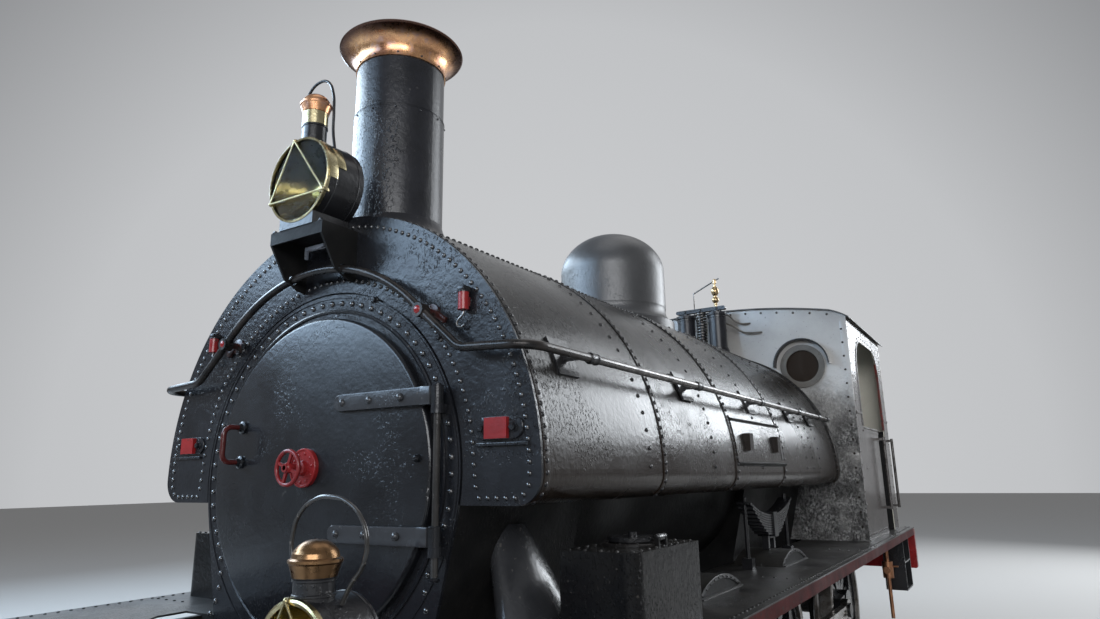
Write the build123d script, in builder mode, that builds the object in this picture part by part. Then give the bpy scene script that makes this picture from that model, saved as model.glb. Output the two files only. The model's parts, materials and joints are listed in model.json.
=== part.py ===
"""Steam saddle tank locomotive with three coupled axles, built as separate pieces.

Units are millimetres and degrees. The front of the locomotive faces -Y, its left side is +X and
+Z is up. The origin is midway between the buffer faces, on the centre line, level with the lowest
point of the wheel flanges.
"""
from math import acos, asin, atan2, cos, degrees, hypot, pi, radians, sin, sqrt
import os

from build123d import *

os.makedirs("parts", exist_ok=True)

# Clearances: a seat between two fixed pieces, a turning fit, and a gap beside a moving piece
seat = 0.3
running_fit = 0.1
moving_gap = 6
pin_radius = 8
eye_radius = 16
eye_width = 40
ear_gap = 52
ear_width = 12

# Wheels and axles
flange_radius = 580
tread_radius = 550
tread_cone = 4
axle_z = flange_radius
leading_y = -1160
driving_y = 190
trailing_y = 2160
tyre_inner_x = 796
tyre_width = 140
flange_width = 32
tyre_thickness = 60
rim_depth = 50
rim_width = 104
hub_radius = 118
hub_width = 150
spoke_count = 11
spoke_root = 84
spoke_tip = 56
spoke_width = 46
axle_radius = 85
crank_throw = 260
crank_boss_radius = 84
crank_pin_radius = 42
pin_collar_radius = 56
pin_collar_width = 14
balance_angle = 76

# Coupling rods
rod_thickness = 50
rod_depth = 92
rod_eye_radius = 86
rod_flute_depth = 12
rod_flute_height = 46

# Frames and buffer beams
beam_outer_y = 3700
beam_thickness = 60
beam_height = 380
plate_top = 1123
plate_thickness = 8
plate_half_width = 1345
frame_outer_x = 735
frame_thickness = 28
frame_foot = 430
frame_waist = 640
horn_width = 240
horn_top = 800
horn_cheek = 120
well_half_width = 668
well_mouth_half_width = 820
valance_thickness = 12
valance_depth = 62
buffer_spacing = 1940
buffer_z = 965
buffer_length = 560
buffer_head_radius = 185
buffer_head_thickness = 32
buffer_stock_radius = 118
buffer_stock_length = 330
buffer_flange = 330
buffer_flange_thickness = 24
buffer_ram_radius = 62

# Boiler, smokebox and firebox
boiler_z = 1695
smokebox_radius = 720
smokebox_front_y = -2690
smokebox_length = 820
smokebox_plate = 15
smokebox_foot_x = 600
front_ring = 14
front_plate_foot_z = 1050
door_opening_radius = 570
barrel_radius = 660
firebox_y = 360
firebox_rear_y = 2010
firebox_leg_x = 600
ashpan_inset = 30
ashpan_top = 700
ashpan_bottom = 470
flue_radius = 190

# Cylinders between the frames
cylinder_x = 330
cylinder_z = 855
cylinder_cover_radius = 180
cylinder_bottom = 670

# Smokebox door
door_radius = 617
door_rim = 36
door_dish = 25
hinge_x = 645
hinge_y_offset = 52
hinge_rod_radius = 12
strap_height = 62
strap_thickness = 13
strap_eye_radius = 21
upper_strap_z = 1955
lower_strap_z = 1478
strap_end_x = 175
handwheel_z = 1717
handwheel_radius = 71
handwheel_rim = 8
boss_radius = 74
boss_thickness = 14
wheel_offset = 70
handle_x = -430
handle_low_z = 1748
handle_high_z = 1892
handle_reach = 84

# Saddle tank
tank_bottom = 1580
tank_corner = 100
tank_bore = smokebox_radius + seat
tank_radius = 1050
tank_lap = 6
tank_length = 4534
tank_seams = (971, 1903, 2868)
front_plate_thickness = 12
patch_front_y = -770
patch_rear_y = 165
patch_low_z = 1735
patch_high_z = 1955
patch_thickness = 6
front_plate_bore = 728

# Mountings on top
chimney_y = -2330
chimney_radius = 215
chimney_foot_radius = 258
chimney_foot_rise = 78
chimney_joint_z = 3356
chimney_barrel_top = 3605
chimney_cap_height = 130
chimney_cap_radius = 301
dome_y = -125
dome_radius = 375
dome_foot_radius = 430
dome_top = 3395
dome_crown = 300
filler_y = 510
filler_radius = 165
filler_rise = 70
filler_wall = 12
filler_lid_lip = 8
filler_lid_thickness = 14
valve_y = 1660
valve_spacing = 300
valve_radius = 80
valve_flange = 12
valve_base_margin = 15
valve_top = 3125
valve_lever_height = 34
whistle_y = 1778
whistle_x = 108
whistle_foot_radius = 20
whistle_top = 3486

# Cab
cab_half_width = 1231
cab_plate = 10
cab_rear_y = 3540
roof_crown_z = 3170
roof_shoulder_x = 1100
roof_shoulder_z = 3056
roof_eave_x = 1262
roof_eave_z = 2972
roof_thickness = 8
roof_front_overhang = 28
roof_rear_overhang = 140
window_x = 834
window_z = 2588
window_radius = 150
window_rim_radius = 190
window_glass_thickness = 8
hood_radius = 240
hood_plate = 12
hood_reach = 70
floor_thickness = 30
opening_front_y = 2110
opening_rear_y = 3280
opening_top_z = 2845
opening_corner = 290
opening_sill_z = 2060
doorway_front_y = 2870
bunker_front_y = 3290
bunker_top_z = 2060
bunker_plate = 8

# Splashers, sandboxes and steam pipe covers
splasher_inner_x = 757
splasher_outer_x = 1050
splasher_plate = 6
splasher_clearance = 35
sandbox_front_y = -2440
sandbox_rear_y = -1890
sandbox_inner_x = 948
sandbox_outer_x = 1240
sandbox_top_z = 1422
sandbox_corner = 55
sandbox_lid_radius = 92
sandbox_lid_thickness = 14
sandbox_neck_rise = 16

# Lamps
lamp_foot = 22
lamp_stack_radius = 50
lamp_stack_forward = 28
lamp_glass_inset = 6
lamp_glass_thickness = 5

# Lamp places: name, x, y, z of the foot, drum radius, drum length, chimney height
lamp_table = (
    ("upper", 0, -2797, 2666, 182, 186, 138),
    ("lower", 838, -3370, plate_top, 125, 170, 46),
)

tank_rear_y = smokebox_front_y + tank_length
cab_front_y = tank_rear_y
smokebox_rear_y = smokebox_front_y + smokebox_length
beam_top_z = plate_top - plate_thickness
beam_bottom_z = beam_top_z - beam_height
tyre_outer_x = tyre_inner_x + tyre_width
rod_inner_x = tyre_outer_x + 20
hinge_y = smokebox_front_y - hinge_y_offset
axles = (("leading", leading_y), ("driving", driving_y), ("trailing", trailing_y))
sides = (("left", 1), ("right", -1))

# Crank angles about the axle, seen from the left side: 180 points forward, 270 points down
crank_angles = {"left": 180, "right": 270}


def across(y):
    """Vertical plane across the locomotive: local x runs to +X and local y to +Z."""
    return Plane(origin=(0, y, 0), x_dir=(1, 0, 0), z_dir=(0, -1, 0))


def along(x):
    """Vertical plane along the locomotive: local x runs to +Y and local y to +Z."""
    return Plane.YZ.offset(x)


def upright(x, y):
    """Vertical plane through an upright axis at x, y, for profiles that are revolved."""
    return Plane(origin=(x, y, 0), x_dir=(1, 0, 0), z_dir=(0, -1, 0))


def save(piece, name):
    """Label one finished piece and write it under its node name."""
    piece.part.label = name
    export_step(piece.part, f"parts/{name}.step")


def wrapper_outline(radius, foot_x, foot_z):
    """Face of a round-topped wrapper whose legs leave the circle at a tangent."""
    reach = hypot(foot_x, boiler_z - foot_z)
    drop = atan2(boiler_z - foot_z, foot_x) - acos(radius / reach)
    touch = (radius * cos(drop), boiler_z - radius * sin(drop))
    with BuildLine() as outline:
        Line((foot_x, foot_z), touch)
        ThreePointArc(touch, (0, boiler_z + radius), (-touch[0], touch[1]))
        Line((-touch[0], touch[1]), (-foot_x, foot_z))
        Line((-foot_x, foot_z), (foot_x, foot_z))
    make_face(outline.edges())


def saddle_outline(outer, bore):
    """Face of the saddle tank: an arch over the boiler with rounded lower corners."""
    inner_x = sqrt(bore**2 - (boiler_z - tank_bottom) ** 2)
    corner_x = outer - tank_corner
    corner_z = tank_bottom + tank_corner
    bend = tank_corner * sin(radians(45))
    with BuildLine() as outline:
        for side in (1, -1):
            Line((side * inner_x, tank_bottom), (side * corner_x, tank_bottom))
            ThreePointArc(
                (side * corner_x, tank_bottom),
                (side * (corner_x + bend), corner_z - bend),
                (side * outer, corner_z),
            )
            Line((side * outer, corner_z), (side * outer, boiler_z))
        ThreePointArc((outer, boiler_z), (0, boiler_z + outer), (-outer, boiler_z))
        ThreePointArc((inner_x, tank_bottom), (0, boiler_z + bore), (-inner_x, tank_bottom))
    make_face(outline.edges())


def roof_line(rise):
    """Curve of the roof from eave to eave, raised by a given amount."""
    crown = (0, roof_crown_z + rise)
    shoulders = [(side * roof_shoulder_x, roof_shoulder_z + rise) for side in (1, -1)]
    eaves = [(side * roof_eave_x, roof_eave_z + rise) for side in (1, -1)]
    ThreePointArc(shoulders[0], crown, shoulders[1])
    for shoulder, eave in zip(shoulders, eaves):
        middle = ((shoulder[0] + eave[0]) / 2, (shoulder[1] + eave[1]) / 2 + roof_thickness)
        ThreePointArc(shoulder, middle, eave)
    return eaves


def cab_end_outline():
    """Face of a cab end sheet, from the running plate up to the underside of the roof."""
    with BuildLine() as outline:
        eaves = roof_line(0)
        for side, eave in zip((1, -1), eaves):
            Line(eave, (side * roof_eave_x, plate_top))
        Line((roof_eave_x, plate_top), (-roof_eave_x, plate_top))
    make_face(outline.edges())


def pin_ears(gap, width, radius, height):
    """Two ears with a pin between them; the pin lies along local X at the given place."""
    for end in (-1, 1):
        with Locations((end * (gap + width) / 2, 0, -height / 2)):
            Box(width, 2 * radius, height)
        with Locations((end * (gap + width) / 2, 0, 0)):
            Cylinder(radius, width, rotation=(0, 90, 0))
    Cylinder(pin_radius, gap + 2 * width, rotation=(0, 90, 0))


def pin_eye(width, radius):
    """Eye that turns on a pin lying along local X at the given place."""
    Cylinder(radius, width, rotation=(0, 90, 0))
    Cylinder(pin_radius + running_fit, width + 40, rotation=(0, 90, 0), mode=Mode.SUBTRACT)


# Main frames: two plates with horn gaps for the axleboxes, raised cheeks and lightening holes
frame_start = -beam_outer_y + beam_thickness
frame_end = beam_outer_y - beam_thickness
for side_name, side in sides:
    with BuildPart() as main_frame:
        inner_x = frame_outer_x - frame_thickness
        with BuildSketch(along(inner_x if side > 0 else -frame_outer_x)):
            with BuildLine():
                Polyline(
                    (frame_start, beam_top_z),
                    (frame_start, beam_bottom_z),
                    (leading_y - 900, beam_bottom_z),
                    (leading_y - 700, frame_waist),
                    (leading_y - 330, frame_waist),
                    (leading_y - 240, frame_foot),
                    (leading_y + 240, frame_foot),
                    (leading_y + 330, frame_waist),
                    (driving_y - 330, frame_waist),
                    (driving_y - 240, frame_foot),
                    (driving_y + 240, frame_foot),
                    (driving_y + 330, frame_waist),
                    (trailing_y - 330, frame_waist),
                    (trailing_y - 240, frame_foot),
                    (trailing_y + 240, frame_foot),
                    (trailing_y + 330, frame_waist),
                    (trailing_y + 800, frame_waist),
                    (trailing_y + 1000, beam_bottom_z),
                    (frame_end, beam_bottom_z),
                    (frame_end, beam_top_z),
                    close=True,
                )
            make_face()
            for _, axle_y in axles:
                with Locations((axle_y, (frame_foot + horn_top) / 2)):
                    Rectangle(horn_width, horn_top - frame_foot, mode=Mode.SUBTRACT)
            for hole_y in ((leading_y + driving_y) / 2, driving_y + 640, trailing_y - 640):
                with Locations((hole_y, 880)):
                    SlotOverall(330, 150, mode=Mode.SUBTRACT)
        extrude(amount=frame_thickness)
        for _, axle_y in axles:
            for cheek in (-1, 1):
                cheek_y = axle_y + cheek * (horn_width / 2 + 20)
                with Locations((side * (frame_outer_x - frame_thickness / 2), cheek_y, 625)):
                    Box(horn_cheek, 40, 350)
    save(main_frame, f"main_frame_{side_name}")

# Stretchers between the frames: motion plate, firebox front stay, drag box and cylinder stay
stretcher_table = (  # y, bottom z, top z, thickness
    (leading_y - 330, 720, 1000, 22),
    (driving_y - 640, 740, 1020, 22),
    (trailing_y + 640, 700, 1080, 22),
    (beam_outer_y - 420, 760, 1080, 22),
    (-beam_outer_y + 420, 760, 1030, 22),
)
stretcher_width = 2 * (frame_outer_x - frame_thickness)
with BuildPart() as frame_stretchers:
    for stretcher_y, low_z, high_z, thickness in stretcher_table:
        with Locations((0, stretcher_y, (low_z + high_z) / 2)):
            Box(stretcher_width, thickness, high_z - low_z)
            for flange_z in (low_z + 12 - (low_z + high_z) / 2, high_z - 12 - (low_z + high_z) / 2):
                with Locations((0, 0, flange_z)):
                    Box(stretcher_width, 120, 24)
save(frame_stretchers, "frame_stretchers")

# Buffer beams: heavy plates with rounded lower corners
with BuildPart() as buffer_beams:
    for rear_face_y in (-beam_outer_y + beam_thickness, beam_outer_y):
        with BuildSketch(across(rear_face_y)):
            with Locations((0, (beam_top_z + beam_bottom_z) / 2)):
                RectangleRounded(2 * plate_half_width, beam_height, 20)
        extrude(amount=beam_thickness)
save(buffer_beams, "buffer_beams")

# Buffers: square flange, tapered stock, ram and round head at each corner
buffer_profile = (  # distance from the beam, radius
    (buffer_flange_thickness, buffer_stock_radius + 26),
    (buffer_flange_thickness + 30, buffer_stock_radius),
    (buffer_stock_length - 30, buffer_stock_radius - 14),
    (buffer_stock_length - 30, buffer_stock_radius + 6),
    (buffer_stock_length, buffer_stock_radius + 6),
    (buffer_stock_length, buffer_ram_radius),
    (buffer_length - buffer_head_thickness - 20, buffer_ram_radius),
    (buffer_length - buffer_head_thickness, buffer_head_radius - 40),
    (buffer_length - buffer_head_thickness, buffer_head_radius),
    (buffer_length - 10, buffer_head_radius),
    (buffer_length, buffer_head_radius - 24),
)
with BuildPart() as buffers:
    for end in (-1, 1):
        for side in (-1, 1):
            buffer_x = side * buffer_spacing / 2
            with Locations((buffer_x, end * (beam_outer_y + buffer_flange_thickness / 2), buffer_z)):
                Box(buffer_flange, buffer_flange_thickness, buffer_flange)
            with BuildSketch(Plane(origin=(buffer_x, end * beam_outer_y, buffer_z), z_dir=(0, 0, 1))):
                with BuildLine():
                    Polyline(
                        (0, end * buffer_flange_thickness),
                        *[(radius, end * reach) for reach, radius in buffer_profile],
                        (0, end * buffer_length),
                        close=True,
                    )
                make_face()
            revolve(axis=Axis((buffer_x, 0, buffer_z), (0, 1, 0)))
save(buffers, "buffers")

# Drawhooks: a plate on the beam and a forged hook that opens upward
hook_z = 960
with BuildPart() as drawhooks:
    for end in (-1, 1):
        with Locations((0, end * (beam_outer_y + 9), hook_z)):
            Box(260, 18, 240)
        with BuildSketch(along(-26)):
            with Locations((end * (beam_outer_y + 60), hook_z)):
                Rectangle(120, 74)
            with Locations((end * (beam_outer_y + 170), hook_z + 10)):
                Circle(92)
                Circle(40, mode=Mode.SUBTRACT)
            with Locations((end * (beam_outer_y + 170), hook_z + 70)):
                Rectangle(48, 100, mode=Mode.SUBTRACT)
        extrude(amount=52)
save(drawhooks, "drawhooks")

# Running plate: full width, open between the frames and above the wheels
opening_half_length = sqrt((flange_radius + splasher_clearance) ** 2 - (plate_top - axle_z) ** 2) - 4
wheel_slot_width = splasher_outer_x - splasher_inner_x - 2 * splasher_plate - 8
with BuildPart() as running_plate:
    with BuildSketch(Plane.XY.offset(beam_top_z)):
        Rectangle(2 * plate_half_width, 2 * beam_outer_y)
        centre_y = (smokebox_front_y + firebox_rear_y + 4) / 2
        with Locations((0, centre_y)):
            Rectangle(
                2 * (frame_outer_x - frame_thickness),
                firebox_rear_y + 4 - smokebox_front_y,
                mode=Mode.SUBTRACT,
            )
        for _, axle_y in axles:
            for side in (-1, 1):
                with Locations((side * (splasher_inner_x + splasher_outer_x) / 2, axle_y)):
                    Rectangle(wheel_slot_width, 2 * opening_half_length, mode=Mode.SUBTRACT)
        with BuildLine():
            well_front_y = -beam_outer_y + beam_thickness
            well_points = [(well_half_width, well_front_y), (well_half_width, smokebox_front_y - 330)]
            well_points += [(well_mouth_half_width, smokebox_front_y - 130)]
            well_points += [(well_mouth_half_width, smokebox_front_y)]
            mirrored = [(-x, y) for x, y in reversed(well_points)]
            Polyline(*well_points, *mirrored, close=True)
        make_face(mode=Mode.SUBTRACT)
    extrude(amount=plate_thickness)
save(running_plate, "running_plate")

# Valances: edge strips below the running plate, between the beams
with BuildPart() as valances:
    for side in (-1, 1):
        valance_x = side * (plate_half_width - valance_thickness / 2)
        with Locations((valance_x, 0, beam_top_z - valance_depth / 2)):
            Box(valance_thickness, 2 * (beam_outer_y - beam_thickness), valance_depth)
save(valances, "valances")

# Wheel splashers: arched covers on the plate above each wheel
splasher_radius = flange_radius + splasher_clearance
with BuildPart() as wheel_splashers:
    for _, axle_y in axles:
        for side in (-1, 1):
            near_x = splasher_inner_x if side > 0 else -splasher_outer_x
            width = splasher_outer_x - splasher_inner_x
            with BuildSketch(along(near_x)):
                with Locations((axle_y, axle_z)):
                    Circle(splasher_radius + splasher_plate)
                with Locations((axle_y, plate_top - 750)):
                    Rectangle(1400, 1500, mode=Mode.SUBTRACT)
            extrude(amount=width)
            with BuildSketch(along(near_x + splasher_plate)):
                with Locations((axle_y, axle_z)):
                    Circle(splasher_radius)
                with Locations((axle_y, plate_top - 760)):
                    Rectangle(1400, 1500, mode=Mode.SUBTRACT)
            extrude(amount=width - 2 * splasher_plate, mode=Mode.SUBTRACT)
save(wheel_splashers, "wheel_splashers")

sandbox_pin_x = (sandbox_inner_x + sandbox_outer_x) / 2 + sandbox_lid_radius + eye_radius
sandbox_lid_z = sandbox_top_z + sandbox_neck_rise + seat
sandbox_pin_z = sandbox_lid_z + sandbox_lid_thickness

# Sandboxes: closed boxes on the plate with rounded corners and a filler neck
with BuildPart() as sandboxes:
    for side in (-1, 1):
        box_x = side * (sandbox_inner_x + sandbox_outer_x) / 2
        box_y = (sandbox_front_y + sandbox_rear_y) / 2
        with BuildSketch(Plane.XY.offset(plate_top)):
            with BuildLine():
                corner_x = sandbox_outer_x - sandbox_corner
                corner_y = sandbox_front_y + sandbox_corner
                bend = sandbox_corner * sin(radians(45))
                Line((side * sandbox_inner_x, sandbox_front_y), (side * corner_x, sandbox_front_y))
                ThreePointArc(
                    (side * corner_x, sandbox_front_y),
                    (side * (corner_x + bend), corner_y - bend),
                    (side * sandbox_outer_x, corner_y),
                )
                Line((side * sandbox_outer_x, corner_y), (side * sandbox_outer_x, sandbox_rear_y))
                Line((side * sandbox_outer_x, sandbox_rear_y), (side * sandbox_inner_x, sandbox_rear_y))
                Line((side * sandbox_inner_x, sandbox_rear_y), (side * sandbox_inner_x, sandbox_front_y))
            make_face()
        extrude(amount=sandbox_top_z - plate_top)
        with BuildSketch(Plane.XY.offset(sandbox_top_z)):
            with Locations((box_x, box_y)):
                Circle(sandbox_lid_radius - 8)
        extrude(amount=sandbox_neck_rise)
        with Locations(Location((side * sandbox_pin_x, box_y, sandbox_pin_z), (0, 0, 90))):
            pin_ears(ear_gap, ear_width, eye_radius - 3, sandbox_pin_z - sandbox_top_z)
save(sandboxes, "sandboxes")

# Sandbox lids: flat round caps hinged at their outer edge
for side_name, side in sides:
    box_x = side * (sandbox_inner_x + sandbox_outer_x) / 2
    box_y = (sandbox_front_y + sandbox_rear_y) / 2
    arm_length = sandbox_pin_x - abs(box_x)
    with BuildPart() as sandbox_lid:
        with BuildSketch(Plane.XY.offset(sandbox_lid_z)):
            with Locations((box_x, box_y)):
                Circle(sandbox_lid_radius)
            with Locations((box_x + side * arm_length / 2, box_y)):
                Rectangle(arm_length, eye_width)
        extrude(amount=sandbox_lid_thickness)
        with Locations((box_x, box_y, sandbox_lid_z + sandbox_lid_thickness + 8)):
            Cylinder(16, 16)
        with Locations(Location((side * sandbox_pin_x, box_y, sandbox_pin_z), (0, 0, 90))):
            pin_eye(eye_width, eye_radius - 3)
    save(sandbox_lid, f"sandbox_lid_{side_name}")

# Cylinder block: the casting between the frames below the smokebox, with two front covers
with BuildPart() as cylinder_block:
    with BuildSketch(across(smokebox_rear_y)):
        with Locations((0, (cylinder_bottom + plate_top) / 2)):
            Rectangle(stretcher_width - 2 * seat, plate_top - cylinder_bottom)
    extrude(amount=smokebox_length)
    for side in (-1, 1):
        with BuildSketch(across(smokebox_front_y)):
            with Locations((side * cylinder_x, cylinder_z)):
                Circle(cylinder_cover_radius)
        extrude(amount=36)
        with BuildSketch(across(smokebox_front_y - 36)):
            with Locations((side * cylinder_x, cylinder_z)):
                Circle(80)
        extrude(amount=40, taper=12)
save(cylinder_block, "cylinder_block")

# Smokebox: round-topped wrapper that stands on the cylinder block, open at both ends
with BuildPart() as smokebox:
    with BuildSketch(across(smokebox_rear_y)):
        wrapper_outline(smokebox_radius, smokebox_foot_x, plate_top)
    extrude(amount=smokebox_length)
    with BuildSketch(across(smokebox_rear_y + 1)):
        wrapper_outline(
            smokebox_radius - smokebox_plate, smokebox_foot_x - smokebox_plate, plate_top + smokebox_plate
        )
    extrude(amount=smokebox_length + 2, mode=Mode.SUBTRACT)
    with BuildSketch(Plane.XY.offset(boiler_z)):
        with Locations((0, chimney_y)):
            Circle(flue_radius)
    extrude(amount=smokebox_radius + 10, mode=Mode.SUBTRACT)
save(smokebox, "smokebox")

# Smokebox front: flat plate with the door opening, and the fixed post of the door hinge
with BuildPart() as smokebox_front:
    with BuildSketch(across(smokebox_front_y)):
        wrapper_outline(smokebox_radius, smokebox_foot_x, plate_top)
        with Locations((0, (front_plate_foot_z + plate_top + 40) / 2)):
            Rectangle(2 * smokebox_foot_x, plate_top + 40 - front_plate_foot_z)
        with Locations((0, boiler_z)):
            Circle(door_opening_radius, mode=Mode.SUBTRACT)
    extrude(amount=front_ring)
    post_low = lower_strap_z - strap_height / 2 - 100
    post_high = upper_strap_z + strap_height / 2 + 10
    with Locations((hinge_x, hinge_y, (post_low + post_high) / 2)):
        Cylinder(hinge_rod_radius, post_high - post_low)
    for strap_z in (lower_strap_z, upper_strap_z):
        lug_z = strap_z - strap_height / 2 - 16 - 1
        lug_reach = hinge_y_offset - front_ring
        with Locations((hinge_x, hinge_y + lug_reach / 2, lug_z)):
            Box(36, lug_reach, 32)
        with Locations((hinge_x, hinge_y, lug_z)):
            Cylinder(24, 32)
save(smokebox_front, "smokebox_front")

# Steam pipe covers: rounded casings from the smokebox sides down to the running plate
cover_foot_x = 800
cover_head_x = 640
with BuildPart() as steam_pipe_covers:
    for side in (-1, 1):
        with BuildSketch(Plane.XY.offset(plate_top)):
            with Locations((side * cover_foot_x, chimney_y)):
                Ellipse(105, 225)
        with BuildSketch(Plane.XY.offset(1500)):
            with Locations((side * cover_head_x, chimney_y)):
                Ellipse(70, 90)
        loft()
    with BuildSketch(across(smokebox_rear_y + 200)):
        wrapper_outline(smokebox_radius + seat, smokebox_foot_x + seat, plate_top - 1)
    extrude(amount=smokebox_length + 400, mode=Mode.SUBTRACT)
save(steam_pipe_covers, "steam_pipe_covers")

filler_lid_z = boiler_z + tank_radius + filler_rise + seat
filler_pin_y = filler_y + filler_radius + filler_lid_lip + eye_radius
filler_pin_z = filler_lid_z + filler_lid_thickness

# Saddle tank: plate rings that lap at the seams, and the filler neck on top
ring_ends = (0,) + tank_seams + (tank_length,)
with BuildPart() as saddle_tank:
    for index in range(len(ring_ends) - 1):
        ring_radius = tank_radius - tank_lap * (index % 2)
        ring_start = smokebox_front_y + ring_ends[index]
        ring_end = smokebox_front_y + ring_ends[index + 1]
        with BuildSketch(across(ring_end)):
            saddle_outline(ring_radius, tank_bore)
        extrude(amount=ring_end - ring_start)
    with BuildSketch(Plane.XY.offset(boiler_z + smokebox_radius - 60)):
        with Locations((0, chimney_y)):
            Circle(flue_radius)
    extrude(amount=tank_radius, mode=Mode.SUBTRACT)
    with BuildSketch(Plane.XY.offset(boiler_z + tank_radius - 40)):
        with Locations((0, filler_y)):
            Circle(filler_radius)
    extrude(amount=40 + filler_rise)
    with BuildSketch(Plane.XY.offset(boiler_z + tank_radius - 140)):
        with Locations((0, filler_y)):
            Circle(filler_radius - filler_wall)
    extrude(amount=240, mode=Mode.SUBTRACT)
    with Locations((0, filler_pin_y, filler_pin_z)):
        pin_ears(ear_gap, ear_width, eye_radius, filler_pin_z - boiler_z - tank_radius + 20)
    for side in (-1, 1):
        with BuildSketch(across(patch_rear_y)):
            with BuildLine():
                points = []
                for radius in (tank_radius - tank_lap - 4, tank_radius + patch_thickness):
                    for place_z in (patch_low_z, (patch_low_z + patch_high_z) / 2, patch_high_z):
                        place = asin((place_z - boiler_z) / radius)
                        points += [(side * radius * cos(place), boiler_z + radius * sin(place))]
                ThreePointArc(*points[:3])
                ThreePointArc(*points[3:])
                Line(points[0], points[3])
                Line(points[2], points[5])
            make_face()
        extrude(amount=patch_rear_y - patch_front_y)
        for boss_y in (patch_front_y + 190, patch_rear_y - 190):
            with Locations((side * (tank_radius + 2), boss_y, (patch_low_z + patch_high_z) / 2)):
                Box(50, 62, 96)
save(saddle_tank, "saddle_tank")

# Tank filler lid: round plate hinged behind the neck, with a pull knob
with BuildPart() as tank_filler_lid:
    with BuildSketch(Plane.XY.offset(filler_lid_z)):
        with Locations((0, filler_y)):
            Circle(filler_radius + filler_lid_lip)
        with Locations((0, (filler_y + filler_pin_y) / 2)):
            Rectangle(eye_width, filler_pin_y - filler_y)
    extrude(amount=filler_lid_thickness)
    with Locations((0, filler_pin_y, filler_pin_z)):
        pin_eye(eye_width, eye_radius)
    with Locations((0, filler_y - 90, filler_lid_z + filler_lid_thickness + 15)):
        Cylinder(15, 30)
save(tank_filler_lid, "tank_filler_lid")

front_face_y = smokebox_front_y - front_plate_thickness

# Tank front plate: the horseshoe that closes the tank beside the smokebox ring
with BuildPart() as tank_front_plate:
    with BuildSketch(across(smokebox_front_y)):
        saddle_outline(tank_radius, front_plate_bore)
    extrude(amount=front_plate_thickness)
save(tank_front_plate, "tank_front_plate")

# Tank pads: two blocks and two short upright pegs on the front of the tank
pad_x = 882
pad_z = 1831
pad_size = (92, 70)
pad_depth = 24
peg_x = 742
peg_z = 2284
peg_radius = 20
peg_length = 64
peg_stand = 24
with BuildPart() as tank_pads:
    for side in (-1, 1):
        with Locations((side * pad_x, front_face_y - pad_depth / 2, pad_z)):
            Box(pad_size[0], pad_depth, pad_size[1])
        with Locations((side * peg_x, front_face_y - peg_stand, peg_z)):
            Cylinder(peg_radius, peg_length)
        with Locations((side * peg_x, front_face_y - peg_stand / 2, peg_z)):
            Box(peg_radius, peg_stand, peg_length / 2)
save(tank_pads, "tank_pads")

# Boiler: plain barrel behind the smokebox, round-topped firebox with straight legs, and the ashpan
with BuildPart() as boiler:
    with BuildSketch(across(firebox_y + 1)):
        with Locations((0, boiler_z)):
            Circle(barrel_radius)
    extrude(amount=firebox_y + 1 - smokebox_rear_y)
    with BuildSketch(across(firebox_rear_y)):
        wrapper_outline(smokebox_radius, firebox_leg_x, plate_top)
    extrude(amount=firebox_rear_y - firebox_y)
    with BuildSketch(across(firebox_rear_y)):
        with Locations((0, (ashpan_top + plate_top) / 2)):
            Rectangle(2 * firebox_leg_x, plate_top - ashpan_top)
    extrude(amount=firebox_rear_y - firebox_y)
    with BuildSketch(along(-firebox_leg_x + ashpan_inset)):
        with BuildLine():
            Polyline(
                (firebox_y + 60, ashpan_top),
                (firebox_y + 160, ashpan_bottom),
                (firebox_rear_y - 330, ashpan_bottom),
                (firebox_rear_y - 150, ashpan_top),
                close=True,
            )
        make_face()
    extrude(amount=2 * (firebox_leg_x - ashpan_inset))
save(boiler, "boiler")

# Chimney: flared foot on the tank, parallel barrel with a joint, open bore
chimney_low_z = boiler_z + tank_radius - 60
with BuildPart() as chimney:
    with BuildSketch(upright(0, chimney_y)):
        with BuildLine():
            foot_z = boiler_z + tank_radius
            Line((flue_radius, chimney_low_z), (chimney_foot_radius, chimney_low_z))
            Line((chimney_foot_radius, chimney_low_z), (chimney_foot_radius, foot_z - 10))
            ThreePointArc(
                (chimney_foot_radius, foot_z - 10),
                (chimney_radius + 12, foot_z + 40),
                (chimney_radius, foot_z + chimney_foot_rise),
            )
            Line((chimney_radius, foot_z + chimney_foot_rise), (chimney_radius, chimney_joint_z))
            Line((chimney_radius, chimney_joint_z), (chimney_radius - 4, chimney_joint_z))
            Line((chimney_radius - 4, chimney_joint_z), (chimney_radius - 4, chimney_barrel_top))
            Line((chimney_radius - 4, chimney_barrel_top), (flue_radius, chimney_barrel_top))
            Line((flue_radius, chimney_barrel_top), (flue_radius, chimney_low_z))
        make_face()
    revolve(axis=Axis((0, chimney_y, 0), (0, 0, 1)))
    with BuildSketch(across(chimney_y + 400)):
        with Locations((0, boiler_z)):
            Circle(tank_radius + seat)
    extrude(amount=800, mode=Mode.SUBTRACT)
save(chimney, "chimney")

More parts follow.
